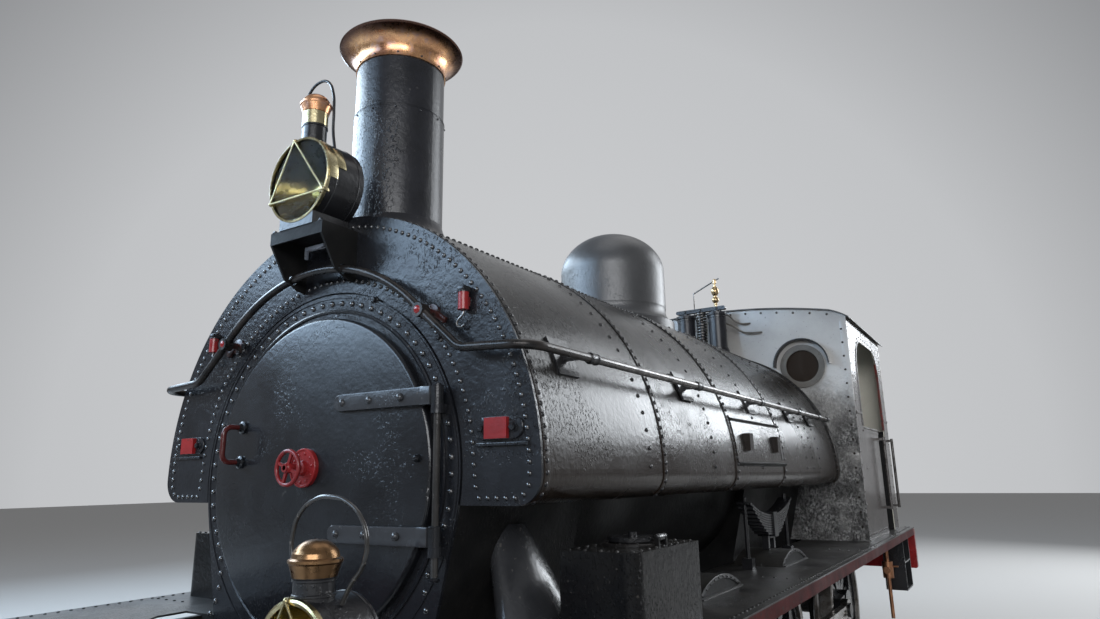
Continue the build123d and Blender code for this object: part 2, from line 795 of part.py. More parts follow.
# Chimney cap: spun copper bell mouth round the top of the barrel
cap_rise = chimney_cap_height
chimney_top = chimney_barrel_top + chimney_cap_height
with BuildPart() as chimney_cap:
    with BuildSketch(upright(0, chimney_y)):
        with BuildLine():
            Line((flue_radius, chimney_barrel_top), (chimney_radius + 2, chimney_barrel_top))
            ThreePointArc(
                (chimney_radius + 2, chimney_barrel_top),
                (chimney_radius + 22, chimney_barrel_top + 0.62 * cap_rise),
                (chimney_cap_radius - 6, chimney_top - 12),
            )
            Line((chimney_cap_radius - 6, chimney_top - 12), (chimney_cap_radius, chimney_top - 6))
            Line((chimney_cap_radius, chimney_top - 6), (chimney_cap_radius - 4, chimney_top))
            Line((chimney_cap_radius - 4, chimney_top), (chimney_cap_radius - 14, chimney_top))
            ThreePointArc(
                (chimney_cap_radius - 14, chimney_top),
                (chimney_radius + 6, chimney_barrel_top + 0.66 * cap_rise),
                (flue_radius, chimney_barrel_top),
            )
        make_face()
    revolve(axis=Axis((0, chimney_y, 0), (0, 0, 1)))
save(chimney_cap, "chimney_cap")

# Steam dome: flared foot, upright casing and rounded crown
with BuildPart() as dome:
    with BuildSketch(upright(0, dome_y)):
        with BuildLine():
            shoulder_z = dome_top - dome_crown
            low_z = boiler_z + tank_radius - 110
            foot_z = boiler_z + tank_radius
            Line((0, low_z), (dome_foot_radius, low_z))
            Line((dome_foot_radius, low_z), (dome_foot_radius, foot_z - 30))
            ThreePointArc(
                (dome_foot_radius, foot_z - 30), (dome_radius + 10, foot_z + 10), (dome_radius, foot_z + 80)
            )
            Line((dome_radius, foot_z + 80), (dome_radius, shoulder_z))
            crown = EllipticalCenterArc((0, shoulder_z), dome_radius, dome_crown, 0, arc_size=88)
            Line(crown @ 1, (0, (crown @ 1).Y))
            Line((0, (crown @ 1).Y), (0, low_z))
        make_face()
    revolve(axis=Axis((0, dome_y, 0), (0, 0, 1)))
    with BuildSketch(across(dome_y + 600)):
        with Locations((0, boiler_z)):
            Circle(tank_radius + seat)
    extrude(amount=1200, mode=Mode.SUBTRACT)
save(dome, "dome")

# Safety valves: base on the tank, two pillars, a coil spring between them and the lever across
valve_base_z = boiler_z + tank_radius + 30
with BuildPart() as safety_valves:
    with BuildSketch(Plane.XY.offset(boiler_z + tank_radius - 80)):
        with Locations((0, valve_y)):
            SlotOverall(
                valve_spacing + 2 * (valve_radius + valve_base_margin), 2 * (valve_radius + valve_base_margin)
            )
    extrude(amount=110)
    with BuildSketch(across(valve_y + 400)):
        with Locations((0, boiler_z)):
            Circle(tank_radius - tank_lap + seat)
    extrude(amount=800, mode=Mode.SUBTRACT)
    for side in (-1, 1):
        with BuildSketch(Plane.XY.offset(valve_base_z)):
            with Locations((side * valve_spacing / 2, valve_y)):
                Circle(valve_radius)
        extrude(amount=valve_top - valve_base_z - 24)
        with BuildSketch(Plane.XY.offset(valve_top - 24)):
            with Locations((side * valve_spacing / 2, valve_y)):
                Circle(valve_radius + valve_flange)
        extrude(amount=24)
        with BuildSketch(Plane.XY.offset(valve_top)):
            with Locations((side * valve_spacing / 2, valve_y)):
                Circle(26)
        extrude(amount=26)
    with BuildSketch(across(valve_y + 25)):
        with Locations((0, valve_top + 26 + valve_lever_height / 2)):
            SlotOverall(valve_spacing + 2 * valve_radius + 20, valve_lever_height)
    extrude(amount=50)
    spring_low = valve_base_z
    spring_high = valve_top + 26
    with Locations((0, valve_y, (spring_low + spring_high) / 2)):
        Cylinder(13, spring_high - spring_low)
    coil_count = 10
    for index in range(coil_count):
        coil_z = spring_low + 30 + index * 26
        with Locations((0, valve_y, coil_z)):
            Cylinder(34, 12)
save(safety_valves, "safety_valves")

# Whistle: brass bell on its own steam pipe behind the safety valves
whistle_seat_radius = tank_radius - tank_lap + seat
whistle_base_z = boiler_z + sqrt(whistle_seat_radius**2 - (whistle_x - whistle_foot_radius) ** 2)
with BuildPart() as whistle:
    with BuildSketch(upright(whistle_x, whistle_y)):
        with BuildLine():
            Polyline(
                (0, whistle_base_z),
                (whistle_foot_radius, whistle_base_z),
                (whistle_foot_radius, whistle_base_z + 18),
                (12, whistle_base_z + 24),
                (12, whistle_top - 236),
            )
            ThreePointArc((12, whistle_top - 236), (32, whistle_top - 206), (14, whistle_top - 176))
            Line((14, whistle_top - 176), (14, whistle_top - 166))
            ThreePointArc((14, whistle_top - 166), (36, whistle_top - 120), (14, whistle_top - 76))
            Polyline(
                (14, whistle_top - 76),
                (9, whistle_top - 70),
                (9, whistle_top - 52),
                (16, whistle_top - 46),
                (16, whistle_top - 12),
                (8, whistle_top),
                (0, whistle_top),
                (0, whistle_base_z),
            )
        make_face()
    revolve(axis=Axis((whistle_x, whistle_y, 0), (0, 0, 1)))
save(whistle, "whistle")

# Handrail: one tube from the left side round the front of the smokebox to the right side
rail_radius = 16
rail_side_x = 1052
rail_side_z = 2092
rail_front_y = smokebox_front_y - 80
rail_rear_y = 1560
rail_arch_radius = 812
rail_joint_angle = 44.5
grab_radius = 13
grab_stand = 52
grab_low_z = 1330
grab_high_z = 1990
joint_x = rail_arch_radius * cos(radians(rail_joint_angle))
joint_z = boiler_z + rail_arch_radius * sin(radians(rail_joint_angle))
shoulder_x = 760
joint_gap = 1
arch_angle = radians(rail_joint_angle + joint_gap)
arch_span = 180 - 2 * (rail_joint_angle + joint_gap)
arch_start = (cos(arch_angle), 0, sin(arch_angle))
arch_way = (-sin(arch_angle), 0, cos(arch_angle))
with BuildPart() as handrail:
    for side in (-1, 1):
        with BuildLine() as side_path:
            FilletPolyline(
                (side * rail_side_x, rail_rear_y, rail_side_z),
                (side * rail_side_x, rail_front_y, rail_side_z),
                (side * shoulder_x, rail_front_y, rail_side_z + 16),
                (side * (joint_x + 12), rail_front_y, joint_z - 10),
                radius=90,
            )
        with BuildSketch(Plane(origin=(side * rail_side_x, rail_rear_y, rail_side_z), z_dir=(0, -1, 0))):
            Circle(rail_radius)
        sweep(path=side_path.wire())
    with BuildSketch(Plane(origin=(0, rail_front_y, boiler_z), x_dir=arch_start, z_dir=arch_way)):
        with Locations((rail_arch_radius, 0)):
            Circle(rail_radius)
    revolve(axis=Axis((0, rail_front_y, boiler_z), (0, -1, 0)), revolution_arc=arch_span)
    for side in (-1, 1):
        with Locations((side * joint_x, rail_front_y, joint_z)):
            Cylinder(26, 42, rotation=(90, 0, 0))
        for pillar_y in (doorway_front_y - 45, opening_rear_y + 45):
            pillar_x = side * (cab_half_width + grab_stand)
            with Locations((pillar_x, pillar_y, (grab_low_z + grab_high_z) / 2)):
                Cylinder(grab_radius, grab_high_z - grab_low_z)
            for knob_z in (grab_low_z + 20, grab_high_z - 20):
                with Locations((side * (cab_half_width + grab_stand / 2 + seat / 2), pillar_y, knob_z)):
                    Box(grab_stand - seat, 22, 22)
save(handrail, "handrail")

# Handrail brackets: flanged arms from the tank out to the rail, and two at the front ball joints
bracket_ys = (smokebox_front_y + 250, -1310, -290, 610, 1200)
with BuildPart() as handrail_brackets:
    for side in (-1, 1):
        for bracket_y in bracket_ys:
            angle = asin((rail_side_z - boiler_z) / tank_radius)
            foot_x = tank_radius * cos(angle)
            arm_end = rail_side_x - rail_radius - seat
            arm_low = foot_x + 8
            with Locations((side * (arm_low + arm_end) / 2, bracket_y, rail_side_z)):
                Box(arm_end - arm_low, 26, 26)
            with BuildSketch(across(bracket_y + 70)):
                with BuildLine():
                    flange_low = asin((rail_side_z - 70 - boiler_z) / (tank_radius + seat))
                    flange_high = asin((rail_side_z + 70 - boiler_z) / (tank_radius + seat))
                    points = []
                    for radius in (tank_radius + seat, tank_radius + seat + 10):
                        for place in (flange_low, (flange_low + flange_high) / 2, flange_high):
                            points += [(side * radius * cos(place), boiler_z + radius * sin(place))]
                    ThreePointArc(*points[:3])
                    ThreePointArc(*points[3:])
                    Line(points[0], points[3])
                    Line(points[2], points[5])
                make_face()
            extrude(amount=140)
        joint_foot_y = smokebox_front_y - front_plate_thickness
        joint_back_y = rail_front_y + 21
        with Locations((side * joint_x, (joint_foot_y + joint_back_y) / 2, joint_z)):
            Cylinder(13, joint_foot_y - joint_back_y, rotation=(90, 0, 0))
save(handrail_brackets, "handrail_brackets")

# Cab front sheet with two round windows, cut round the firebox and closed above the tank
window_places = [(side * window_x, window_z) for side in (-1, 1)]
with BuildPart() as cab_front:
    with BuildSketch(across(cab_front_y + cab_plate)):
        cab_end_outline()
        with Locations((0, plate_top + 1200)):
            Rectangle(2 * cab_half_width, 2400, mode=Mode.INTERSECT)
        wrapper_cut_x = firebox_leg_x + seat
    extrude(amount=cab_plate)
    with BuildSketch(across(cab_front_y + cab_plate + 5)):
        wrapper_outline(smokebox_radius + seat, wrapper_cut_x, plate_top - 1)
        with Locations(*window_places):
            Circle(window_radius)
    extrude(amount=cab_plate + 10, mode=Mode.SUBTRACT)
    with BuildSketch(across(cab_front_y)):
        with Locations(*window_places):
            Circle(hood_radius)
            Circle(hood_radius - hood_plate, mode=Mode.SUBTRACT)
        for place_x, place_z in window_places:
            with Locations((place_x, place_z - hood_radius)):
                Rectangle(2 * hood_radius + 20, 2 * hood_radius, mode=Mode.SUBTRACT)
    extrude(amount=hood_reach)
save(cab_front, "cab_front")

# Cab floor: boards between the firebox and the bunker
with BuildPart() as cab_floor:
    floor_front_y = firebox_rear_y + 4
    floor_rear_y = bunker_front_y - seat
    with Locations((0, (floor_front_y + floor_rear_y) / 2, plate_top + floor_thickness / 2)):
        Box(2 * (splasher_inner_x - 3), floor_rear_y - floor_front_y, floor_thickness)
save(cab_floor, "cab_floor")

# Cab rear sheet with two round windows
with BuildPart() as cab_rear:
    with BuildSketch(across(cab_rear_y)):
        cab_end_outline()
        with Locations((0, plate_top + 1200)):
            Rectangle(2 * cab_half_width, 2400, mode=Mode.INTERSECT)
        with Locations(*window_places):
            Circle(window_radius, mode=Mode.SUBTRACT)
    extrude(amount=cab_plate)
save(cab_rear, "cab_rear")

# Cab side sheets: arched opening with a sill in front and a doorway down to the plate behind
side_top_z = 2980
for side_name, side in sides:
    with BuildPart() as cab_side:
        with BuildSketch(along(cab_half_width - cab_plate if side > 0 else -cab_half_width)):
            front = cab_front_y + cab_plate
            rear = cab_rear_y - cab_plate
            with Locations(((front + rear) / 2, (plate_top + side_top_z) / 2)):
                Rectangle(rear - front, side_top_z - plate_top)
            with BuildLine():
                top_front = opening_front_y + opening_corner
                top_rear = opening_rear_y - opening_corner
                shoulder = opening_top_z - opening_corner
                bend = opening_corner * sin(radians(45))
                Line((opening_front_y, opening_sill_z), (opening_front_y, shoulder))
                ThreePointArc(
                    (opening_front_y, shoulder), (top_front - bend, shoulder + bend), (top_front, opening_top_z)
                )
                Line((top_front, opening_top_z), (top_rear, opening_top_z))
                ThreePointArc(
                    (top_rear, opening_top_z), (top_rear + bend, shoulder + bend), (opening_rear_y, shoulder)
                )
                Line((opening_rear_y, shoulder), (opening_rear_y, plate_top))
                Line((opening_rear_y, plate_top), (doorway_front_y, plate_top))
                Line((doorway_front_y, plate_top), (doorway_front_y, opening_sill_z))
                Line((doorway_front_y, opening_sill_z), (opening_front_y, opening_sill_z))
            make_face(mode=Mode.SUBTRACT)
        extrude(amount=cab_plate)
    save(cab_side, f"cab_side_{side_name}")

# Cab roof: one curved sheet that overhangs both ends
with BuildPart() as cab_roof:
    with BuildSketch(across(cab_rear_y + roof_rear_overhang)):
        with BuildLine():
            low_eaves = roof_line(0)
            high_eaves = roof_line(roof_thickness)
            for low_eave, high_eave in zip(low_eaves, high_eaves):
                Line(low_eave, high_eave)
        make_face()
    extrude(amount=cab_rear_y + roof_rear_overhang - cab_front_y + roof_front_overhang)
save(cab_roof, "cab_roof")

# Window rims: rings on the outside of both end sheets
with BuildPart() as window_rims:
    for ring_rear_y in (cab_front_y, cab_rear_y + 16):
        with BuildSketch(across(ring_rear_y)):
            with Locations(*window_places):
                Circle(window_rim_radius)
                Circle(window_radius - 10, mode=Mode.SUBTRACT)
        extrude(amount=16)
    with BuildSketch(across(cab_front_y)):
        with Locations((0, boiler_z)):
            Circle(tank_radius + seat)
    extrude(amount=20, mode=Mode.SUBTRACT)
save(window_rims, "window_rims")

# Window glass: round panes inside the rims
with BuildPart() as window_glass:
    for glass_y in (cab_front_y + cab_plate, cab_rear_y):
        with BuildSketch(across(glass_y - 1)):
            with Locations(*window_places):
                Circle(window_radius - 1)
        extrude(amount=window_glass_thickness)
save(window_glass, "window_glass")

# Coal bunker: open-topped box across the rear of the cab
bunker_half_width = cab_half_width - cab_plate - 1
with BuildPart() as coal_bunker:
    bunker_rear_y = cab_rear_y - cab_plate - 1
    with Locations((0, (bunker_front_y + bunker_rear_y) / 2, (plate_top + bunker_top_z) / 2)):
        Box(2 * bunker_half_width, bunker_rear_y - bunker_front_y, bunker_top_z - plate_top)
    with Locations((0, (bunker_front_y + bunker_rear_y) / 2, (plate_top + bunker_top_z) / 2 + bunker_plate)):
        Box(
            2 * (bunker_half_width - bunker_plate),
            bunker_rear_y - bunker_front_y - 2 * bunker_plate,
            bunker_top_z - plate_top,
            mode=Mode.SUBTRACT,
        )
save(coal_bunker, "coal_bunker")

# Backhead fittings: firehole ring with hinge ears, regulator handle, water gauges and valve wheels
firehole_z = 1420
firehole_ring = 30
firehole_door_y = firebox_rear_y + firehole_ring + seat
firehole_door_thickness = 16
firehole_pin_x = 252
firehole_pin_y = firehole_door_y + firehole_door_thickness
firehole_hinge = Plane(origin=(firehole_pin_x, firehole_pin_y, firehole_z), x_dir=(0, 0, 1), z_dir=(0, 1, 0))
with BuildPart() as backhead_fittings:
    with BuildSketch(across(firebox_rear_y + firehole_ring)):
        with Locations((0, firehole_z)):
            Ellipse(230, 190)
            Ellipse(190, 150, mode=Mode.SUBTRACT)
    extrude(amount=firehole_ring)
    with Locations(firehole_hinge.location):
        pin_ears(ear_gap, ear_width, eye_radius, firehole_pin_y - firebox_rear_y)
    with Locations((firehole_pin_x - 30, firebox_rear_y + firehole_ring / 2, firehole_z)):
        Box(70, firehole_ring, ear_gap + 2 * ear_width)
    with Locations((0, firebox_rear_y + 50, 2180)):
        Box(60, 100, 60)
    with Locations((0, firebox_rear_y + 90, 2120)):
        Box(40, 20, 340)
    for side in (-1, 1):
        with Locations((side * 240, firebox_rear_y + 30, 1980)):
            Box(40, 60, 300)
        with Locations((side * 470, firebox_rear_y + 35, 1800)):
            Cylinder(38, 70, rotation=(90, 0, 0))
save(backhead_fittings, "backhead_fittings")

# Firehole door: oval plate hinged at its left edge
with BuildPart() as firehole_door:
    with BuildSketch(across(firehole_pin_y)):
        with Locations((0, firehole_z)):
            Ellipse(215, 175)
        with Locations((firehole_pin_x / 2, firehole_z)):
            Rectangle(firehole_pin_x, eye_width)
    extrude(amount=firehole_door_thickness)
    with Locations(firehole_hinge.location):
        pin_eye(eye_width, eye_radius - 1)
    with Locations((-170, firehole_pin_y + 20, firehole_z)):
        Box(18, 40, 60)
save(firehole_door, "firehole_door")

# Lamp bracket: shelf with two side gussets on the front of the tank
bracket_half_width = 157
bracket_plate = 10
bracket_front = smokebox_front_y - front_plate_thickness
with BuildPart() as lamp_bracket:
    with Locations((0, bracket_front - 92, 2661)):
        Box(2 * bracket_half_width, 184, bracket_plate)
    with Locations((0, bracket_front - 184 + bracket_plate / 2, 2640)):
        Box(2 * bracket_half_width, bracket_plate, 50)
    for side in (-1, 1):
        near_x = bracket_half_width - bracket_plate if side > 0 else -bracket_half_width
        with BuildSketch(along(near_x)):
            with BuildLine():
                Polyline(
                    (bracket_front, 2660),
                    (bracket_front - 184, 2660),
                    (bracket_front - 184, 2616),
                    (bracket_front - 108, 2486),
                    (bracket_front - 40, 2452),
                    (bracket_front, 2448),
                    close=True,
                )
            make_face()
            rail_offset = bracket_half_width - bracket_plate / 2
            with Locations((rail_front_y, boiler_z + sqrt(rail_arch_radius**2 - rail_offset**2))):
                Circle(rail_radius + 4, mode=Mode.SUBTRACT)
        extrude(amount=bracket_plate)
save(lamp_bracket, "lamp_bracket")

# Headlamps: drum with a deep open front, foot block, and the lower part of the chimney
lamp_wall = 6
with BuildPart() as headlamps:
    for _, lamp_x, lamp_y, foot_z, drum_radius, drum_length, stack_height in lamp_table:
        drum_z = foot_z + lamp_foot + drum_radius
        front_y = lamp_y - drum_length / 2
        with BuildSketch(across(lamp_y + drum_length / 2)):
            with Locations((lamp_x, drum_z)):
                Circle(drum_radius)
            with Locations((lamp_x, foot_z + (drum_radius * 0.5 + lamp_foot) / 2)):
                Rectangle(drum_radius * 1.1, drum_radius * 0.5 + lamp_foot)
        extrude(amount=drum_length)
        with BuildSketch(Plane.XY.offset(drum_z + drum_radius * 0.8)):
            with Locations((lamp_x, lamp_y - lamp_stack_forward)):
                Circle(lamp_stack_radius)
        extrude(amount=drum_radius * 0.2 + stack_height)
        with BuildSketch(across(front_y + drum_length * 0.7)):
            with Locations((lamp_x, drum_z)):
                Circle(drum_radius - lamp_wall)
        extrude(amount=drum_length * 0.7 + 1, mode=Mode.SUBTRACT)
save(headlamps, "headlamps")

# Lamp caps: copper tops of the two lamp chimneys
with BuildPart() as lamp_caps:
    for _, lamp_x, lamp_y, foot_z, drum_radius, drum_length, stack_height in lamp_table:
        cap_y = lamp_y - lamp_stack_forward
        cap_z = foot_z + lamp_foot + 2 * drum_radius + stack_height
        with BuildSketch(upright(lamp_x, cap_y)):
            with BuildLine():
                Polyline(
                    (0, cap_z),
                    (lamp_stack_radius + 4, cap_z),
                    (lamp_stack_radius + 13, cap_z + 30),
                    (lamp_stack_radius + 16, cap_z + 34),
                    (lamp_stack_radius + 16, cap_z + 41),
                    (lamp_stack_radius + 8, cap_z + 45),
                    (lamp_stack_radius + 6, cap_z + 56),
                )
                ThreePointArc(
                    (lamp_stack_radius + 6, cap_z + 56), (lamp_stack_radius - 10, cap_z + 76), (12, cap_z + 87)
                )
                Line((12, cap_z + 87), (0, cap_z + 87))
                Line((0, cap_z + 87), (0, cap_z))
            make_face()
        revolve(axis=Axis((lamp_x, cap_y, 0), (0, 0, 1)))
save(lamp_caps, "lamp_caps")

# Lamp glasses: the front pane of each lamp, set inside the drum
with BuildPart() as lamp_glasses:
    for _, lamp_x, lamp_y, foot_z, drum_radius, drum_length, _ in lamp_table:
        with BuildSketch(across(lamp_y - drum_length / 2 + lamp_glass_inset + lamp_glass_thickness)):
            with Locations((lamp_x, foot_z + lamp_foot + drum_radius)):
                Circle(drum_radius - lamp_wall - seat)
        extrude(amount=lamp_glass_thickness)
save(lamp_glasses, "lamp_glasses")

# Leaf springs above the driving wheels: leaves, buckle and the forked foot on the splasher
spring_x = 900
leaf_count = 9
leaf_thickness = 14
leaf_width = 90
spring_half_length = 460
spring_buckle_z = 1290
spring_leg_spread = 60
with BuildPart() as leaf_springs:
    for side in (-1, 1):
        for index in range(leaf_count):
            half = spring_half_length * (1 - 0.085 * index)
            base_z = spring_buckle_z + (leaf_count - 1 - index) * leaf_thickness
            rise = 0.00042 * half**2
            with BuildSketch(along(side * spring_x - leaf_width / 2)):
                with BuildLine():
                    low = ThreePointArc(
                        (driving_y - half, base_z + rise), (driving_y, base_z), (driving_y + half, base_z + rise)
                    )
                    high = ThreePointArc(
                        (driving_y - half, base_z + rise + leaf_thickness),
                        (driving_y, base_z + leaf_thickness),
                        (driving_y + half, base_z + rise + leaf_thickness),
                    )
                    Line(low @ 0, high @ 0)
                    Line(low @ 1, high @ 1)
                make_face()
            extrude(amount=leaf_width)
        stack = leaf_count * leaf_thickness
        with Locations((side * spring_x, driving_y, spring_buckle_z + stack / 2)):
            Box(leaf_width + 24, 80, stack + 24)
        foot_top = spring_buckle_z - 12
        for end in (-1, 1):
            foot_y = driving_y + end * spring_leg_spread
            foot_low = axle_z + sqrt((splasher_radius + splasher_plate + seat) ** 2 - (spring_leg_spread - 15) ** 2)
            with Locations((side * spring_x, foot_y, (foot_top + foot_low) / 2)):
                Box(40, 30, foot_top - foot_low)
        with Locations((side * spring_x, driving_y, foot_top)):
            Box(40, 2 * spring_leg_spread + 30, 24)
        tip_z = spring_buckle_z + (leaf_count - 1) * leaf_thickness + 0.00042 * spring_half_length**2
        for end in (-1, 1):
            hanger_y = driving_y + end * (spring_half_length - 22)
            with Locations((side * spring_x, hanger_y, (tip_z + 40 + plate_top) / 2)):
                Cylinder(12, tip_z + 40 - plate_top)
            with Locations((side * spring_x, hanger_y, plate_top + 30)):
                Box(60, 60, 60)
save(leaf_springs, "leaf_springs")

# Axleboxes: blocks in the horn gaps, bored for the axle
with BuildPart() as axleboxes:
    for _, axle_y in axles:
        for side in (-1, 1):
            box_x = side * (frame_outer_x - frame_thickness / 2)
            with Locations((box_x, axle_y, axle_z + 20)):
                Box(110, horn_width - 2 * seat, 320)
        with Locations((0, axle_y, axle_z)):
            Cylinder(axle_radius + running_fit, 2 * frame_outer_x + 200, rotation=(0, 90, 0), mode=Mode.SUBTRACT)
save(axleboxes, "axleboxes")

# Brake hangers: a hanger with its block behind each wheel, carried by a bracket on the frame
brake_x = tyre_inner_x + tyre_width / 2 + 8
block_gap = 9
block_thickness = 62
block_width = 84
brake_beam_z = 430
brake_beam_depth = 60
brake_hanger_y = tread_radius + block_gap + block_thickness + 12
with BuildPart() as brake_hangers:
    for _, axle_y in axles:
        for side in (-1, 1):
            with BuildSketch(along(side * brake_x - block_width / 2)):
                with Locations((axle_y, axle_z)):
                    Circle(tread_radius + block_gap + block_thickness)
                    Circle(tread_radius + block_gap, mode=Mode.SUBTRACT)
                with Locations((axle_y + 600, axle_z)):
                    Rectangle(400, 330, mode=Mode.INTERSECT)
            extrude(amount=block_width)
            hanger_low_z = brake_beam_z + brake_beam_depth / 2
            with Locations((side * brake_x, axle_y + brake_hanger_y, (hanger_low_z + 1050) / 2)):
                Box(36, 34, 1050 - hanger_low_z)
            with Locations((side * (brake_x + frame_outer_x) / 2, axle_y + brake_hanger_y, 1030)):
                Box(brake_x - frame_outer_x, 44, 44)
save(brake_hangers, "brake_hangers")

# Brake beams: cross bars that join each pair of hangers below the frames
with BuildPart() as brake_beams:
    for _, axle_y in axles:
        with Locations((0, axle_y + brake_hanger_y, brake_beam_z)):
            Box(2 * brake_x + 50, 44, brake_beam_depth)
save(brake_beams, "brake_beams")

# Injector pipes: a valve body below the plate on each side with its delivery and overflow pipes
injector_x = 1200
injector_y = 2760
injector_top_z = 880
with BuildPart() as injector_pipes:
    for side in (-1, 1):
        with Locations((side * injector_x, injector_y, (injector_top_z + beam_top_z) / 2)):
            Cylinder(18, beam_top_z - injector_top_z)
        with Locations((side * injector_x, injector_y, injector_top_z - 70)):
            Cylinder(46, 140)
        with Locations((side * injector_x, injector_y, injector_top_z - 70)):
            Cylinder(30, 150, rotation=(90, 0, 0))
        with Locations((side * injector_x, injector_y, injector_top_z - 140 - 170)):
            Cylinder(16, 340)
        with Locations((side * (injector_x + 60), injector_y, injector_top_z - 40)):
            Cylinder(8, 60, rotation=(0, 90, 0))
save(injector_pipes, "injector_pipes")

step_width = 180
step_outer_x = plate_half_width - valance_thickness - 3
step_bottom_z = 620
step_middle_z = 860
step_plate = 12

# Cab steps: two treads between hanger plates below each doorway
step_y = (doorway_front_y + opening_rear_y) / 2
step_length = 360
with BuildPart() as cab_steps:
    for side in (-1, 1):
        step_x = side * (step_outer_x - step_width / 2)
        for end in (-1, 1):
            hanger_y = step_y + end * step_length / 2
            with Locations((step_x, hanger_y, (step_bottom_z + beam_top_z) / 2)):
                Box(step_width, step_plate, beam_top_z - step_bottom_z)
        for tread_z in (step_bottom_z + step_plate / 2, step_middle_z):
            with Locations((step_x, step_y, tread_z)):
                Box(step_width, step_length - step_plate, step_plate)
save(cab_steps, "cab_steps")

# Wheelsets: spoked centres on their axle with crank pins, and the tyres
spoke_step = 360 / spoke_count
rim_outer = tread_radius - tyre_thickness - seat
for axle_name, axle_y in axles:
    with BuildPart() as wheels:
        with Locations((0, axle_y, axle_z)):
            Cylinder(axle_radius, 2 * (tyre_inner_x + 20), rotation=(0, 90, 0))
        for side_name, side in sides:
            face_x = tyre_inner_x + (tyre_width - rim_width) / 2
            start_x = face_x if side > 0 else -face_x - rim_width
            crank = radians(crank_angles[side_name])
            crank_y = axle_y + crank_throw * cos(crank)
            crank_z = axle_z + crank_throw * sin(crank)
            with BuildSketch(along(start_x)):
                with Locations((axle_y, axle_z)):
                    Circle(rim_outer)
                    Circle(rim_outer - rim_depth, mode=Mode.SUBTRACT)
            extrude(amount=rim_width)
            hub_start = start_x - 8 if side > 0 else start_x + rim_width + 8 - hub_width
            with BuildSketch(along(hub_start)):
                with Locations((axle_y, axle_z)):
                    Circle(hub_radius)
            extrude(amount=hub_width)
            boss_width = rod_inner_x - moving_gap - face_x - 20
            boss_start = face_x + 20 if side > 0 else -face_x - 20 - boss_width
            with BuildSketch(along(boss_start)):
                with Locations((crank_y, crank_z)):
                    Circle(crank_boss_radius)
                with BuildLine():
                    crank_away = crank + pi / 2
                    offset_y = crank_boss_radius * cos(crank_away)
                    offset_z = crank_boss_radius * sin(crank_away)
                    Polyline(
                        (crank_y + offset_y, crank_z + offset_z),
                        (axle_y + offset_y * 1.2, axle_z + offset_z * 1.2),
                        (axle_y - offset_y * 1.2, axle_z - offset_z * 1.2),
                        (crank_y - offset_y, crank_z - offset_z),
                        close=True,
                    )
                make_face()
            extrude(amount=boss_width)
            spoke_start = start_x + (rim_width - spoke_width) / 2
            with BuildSketch(along(spoke_start)):
                with Locations((axle_y, axle_z)):
                    with PolarLocations(0, spoke_count, start_angle=crank_angles[side_name]):
                        Polygon(
                            (hub_radius - 20, spoke_root / 2),
                            (rim_outer - rim_depth / 2, spoke_tip / 2),
                            (rim_outer - rim_depth / 2, -spoke_tip / 2),
                            (hub_radius - 20, -spoke_root / 2),
                            align=None,
                        )
            extrude(amount=spoke_width)
            with BuildSketch(along(start_x + 12)):
                with Locations((axle_y, axle_z)):
                    Circle(rim_outer - rim_depth / 2)
                away = radians(crank_angles[side_name] + 180)
                chord = 0.62 * rim_outer
                with Locations(
                    Location(
                        (axle_y + (chord - 600) * cos(away), axle_z + (chord - 600) * sin(away)),
                        crank_angles[side_name],
                    )
                ):
                    Rectangle(1200, 1400, mode=Mode.SUBTRACT)
            extrude(amount=rim_width - 24)
            pin_length = rod_inner_x + rod_thickness + 4 + pin_collar_width - tyre_outer_x + 40
            pin_start = tyre_outer_x - 40 if side > 0 else -(tyre_outer_x - 40) - pin_length
            with BuildSketch(along(pin_start)):
                with Locations((crank_y, crank_z)):
                    Circle(crank_pin_radius)
            extrude(amount=pin_length)
            collar_start = rod_inner_x + rod_thickness + 4
            with BuildSketch(along(collar_start if side > 0 else -collar_start - pin_collar_width)):
                with Locations((crank_y, crank_z)):
                    Circle(pin_collar_radius)
            extrude(amount=pin_collar_width)
    save(wheels, f"{axle_name}_wheels")

    with BuildPart() as tyres:
        for side in (-1, 1):
            with BuildSketch(Plane(origin=(0, axle_y, axle_z), x_dir=(1, 0, 0), z_dir=(0, -1, 0))):
                with BuildLine():
                    Polyline(
                        (side * tyre_inner_x, tread_radius - tyre_thickness),
                        (side * tyre_inner_x, flange_radius - 14),
                        (side * (tyre_inner_x + 8), flange_radius),
                        (side * (tyre_inner_x + 20), flange_radius),
                        (side * (tyre_inner_x + flange_width), tread_radius + 6),
                        (side * (tyre_inner_x + flange_width + 8), tread_radius),
                        (side * (tyre_outer_x - 8), tread_radius - tread_cone),
                        (side * tyre_outer_x, tread_radius - tread_cone - 8),
                        (side * tyre_outer_x, tread_radius - tyre_thickness),
                        close=True,
                    )
                make_face()
            revolve(axis=Axis((0, axle_y, axle_z), (1, 0, 0)))
    save(tyres, f"{axle_name}_tyres")

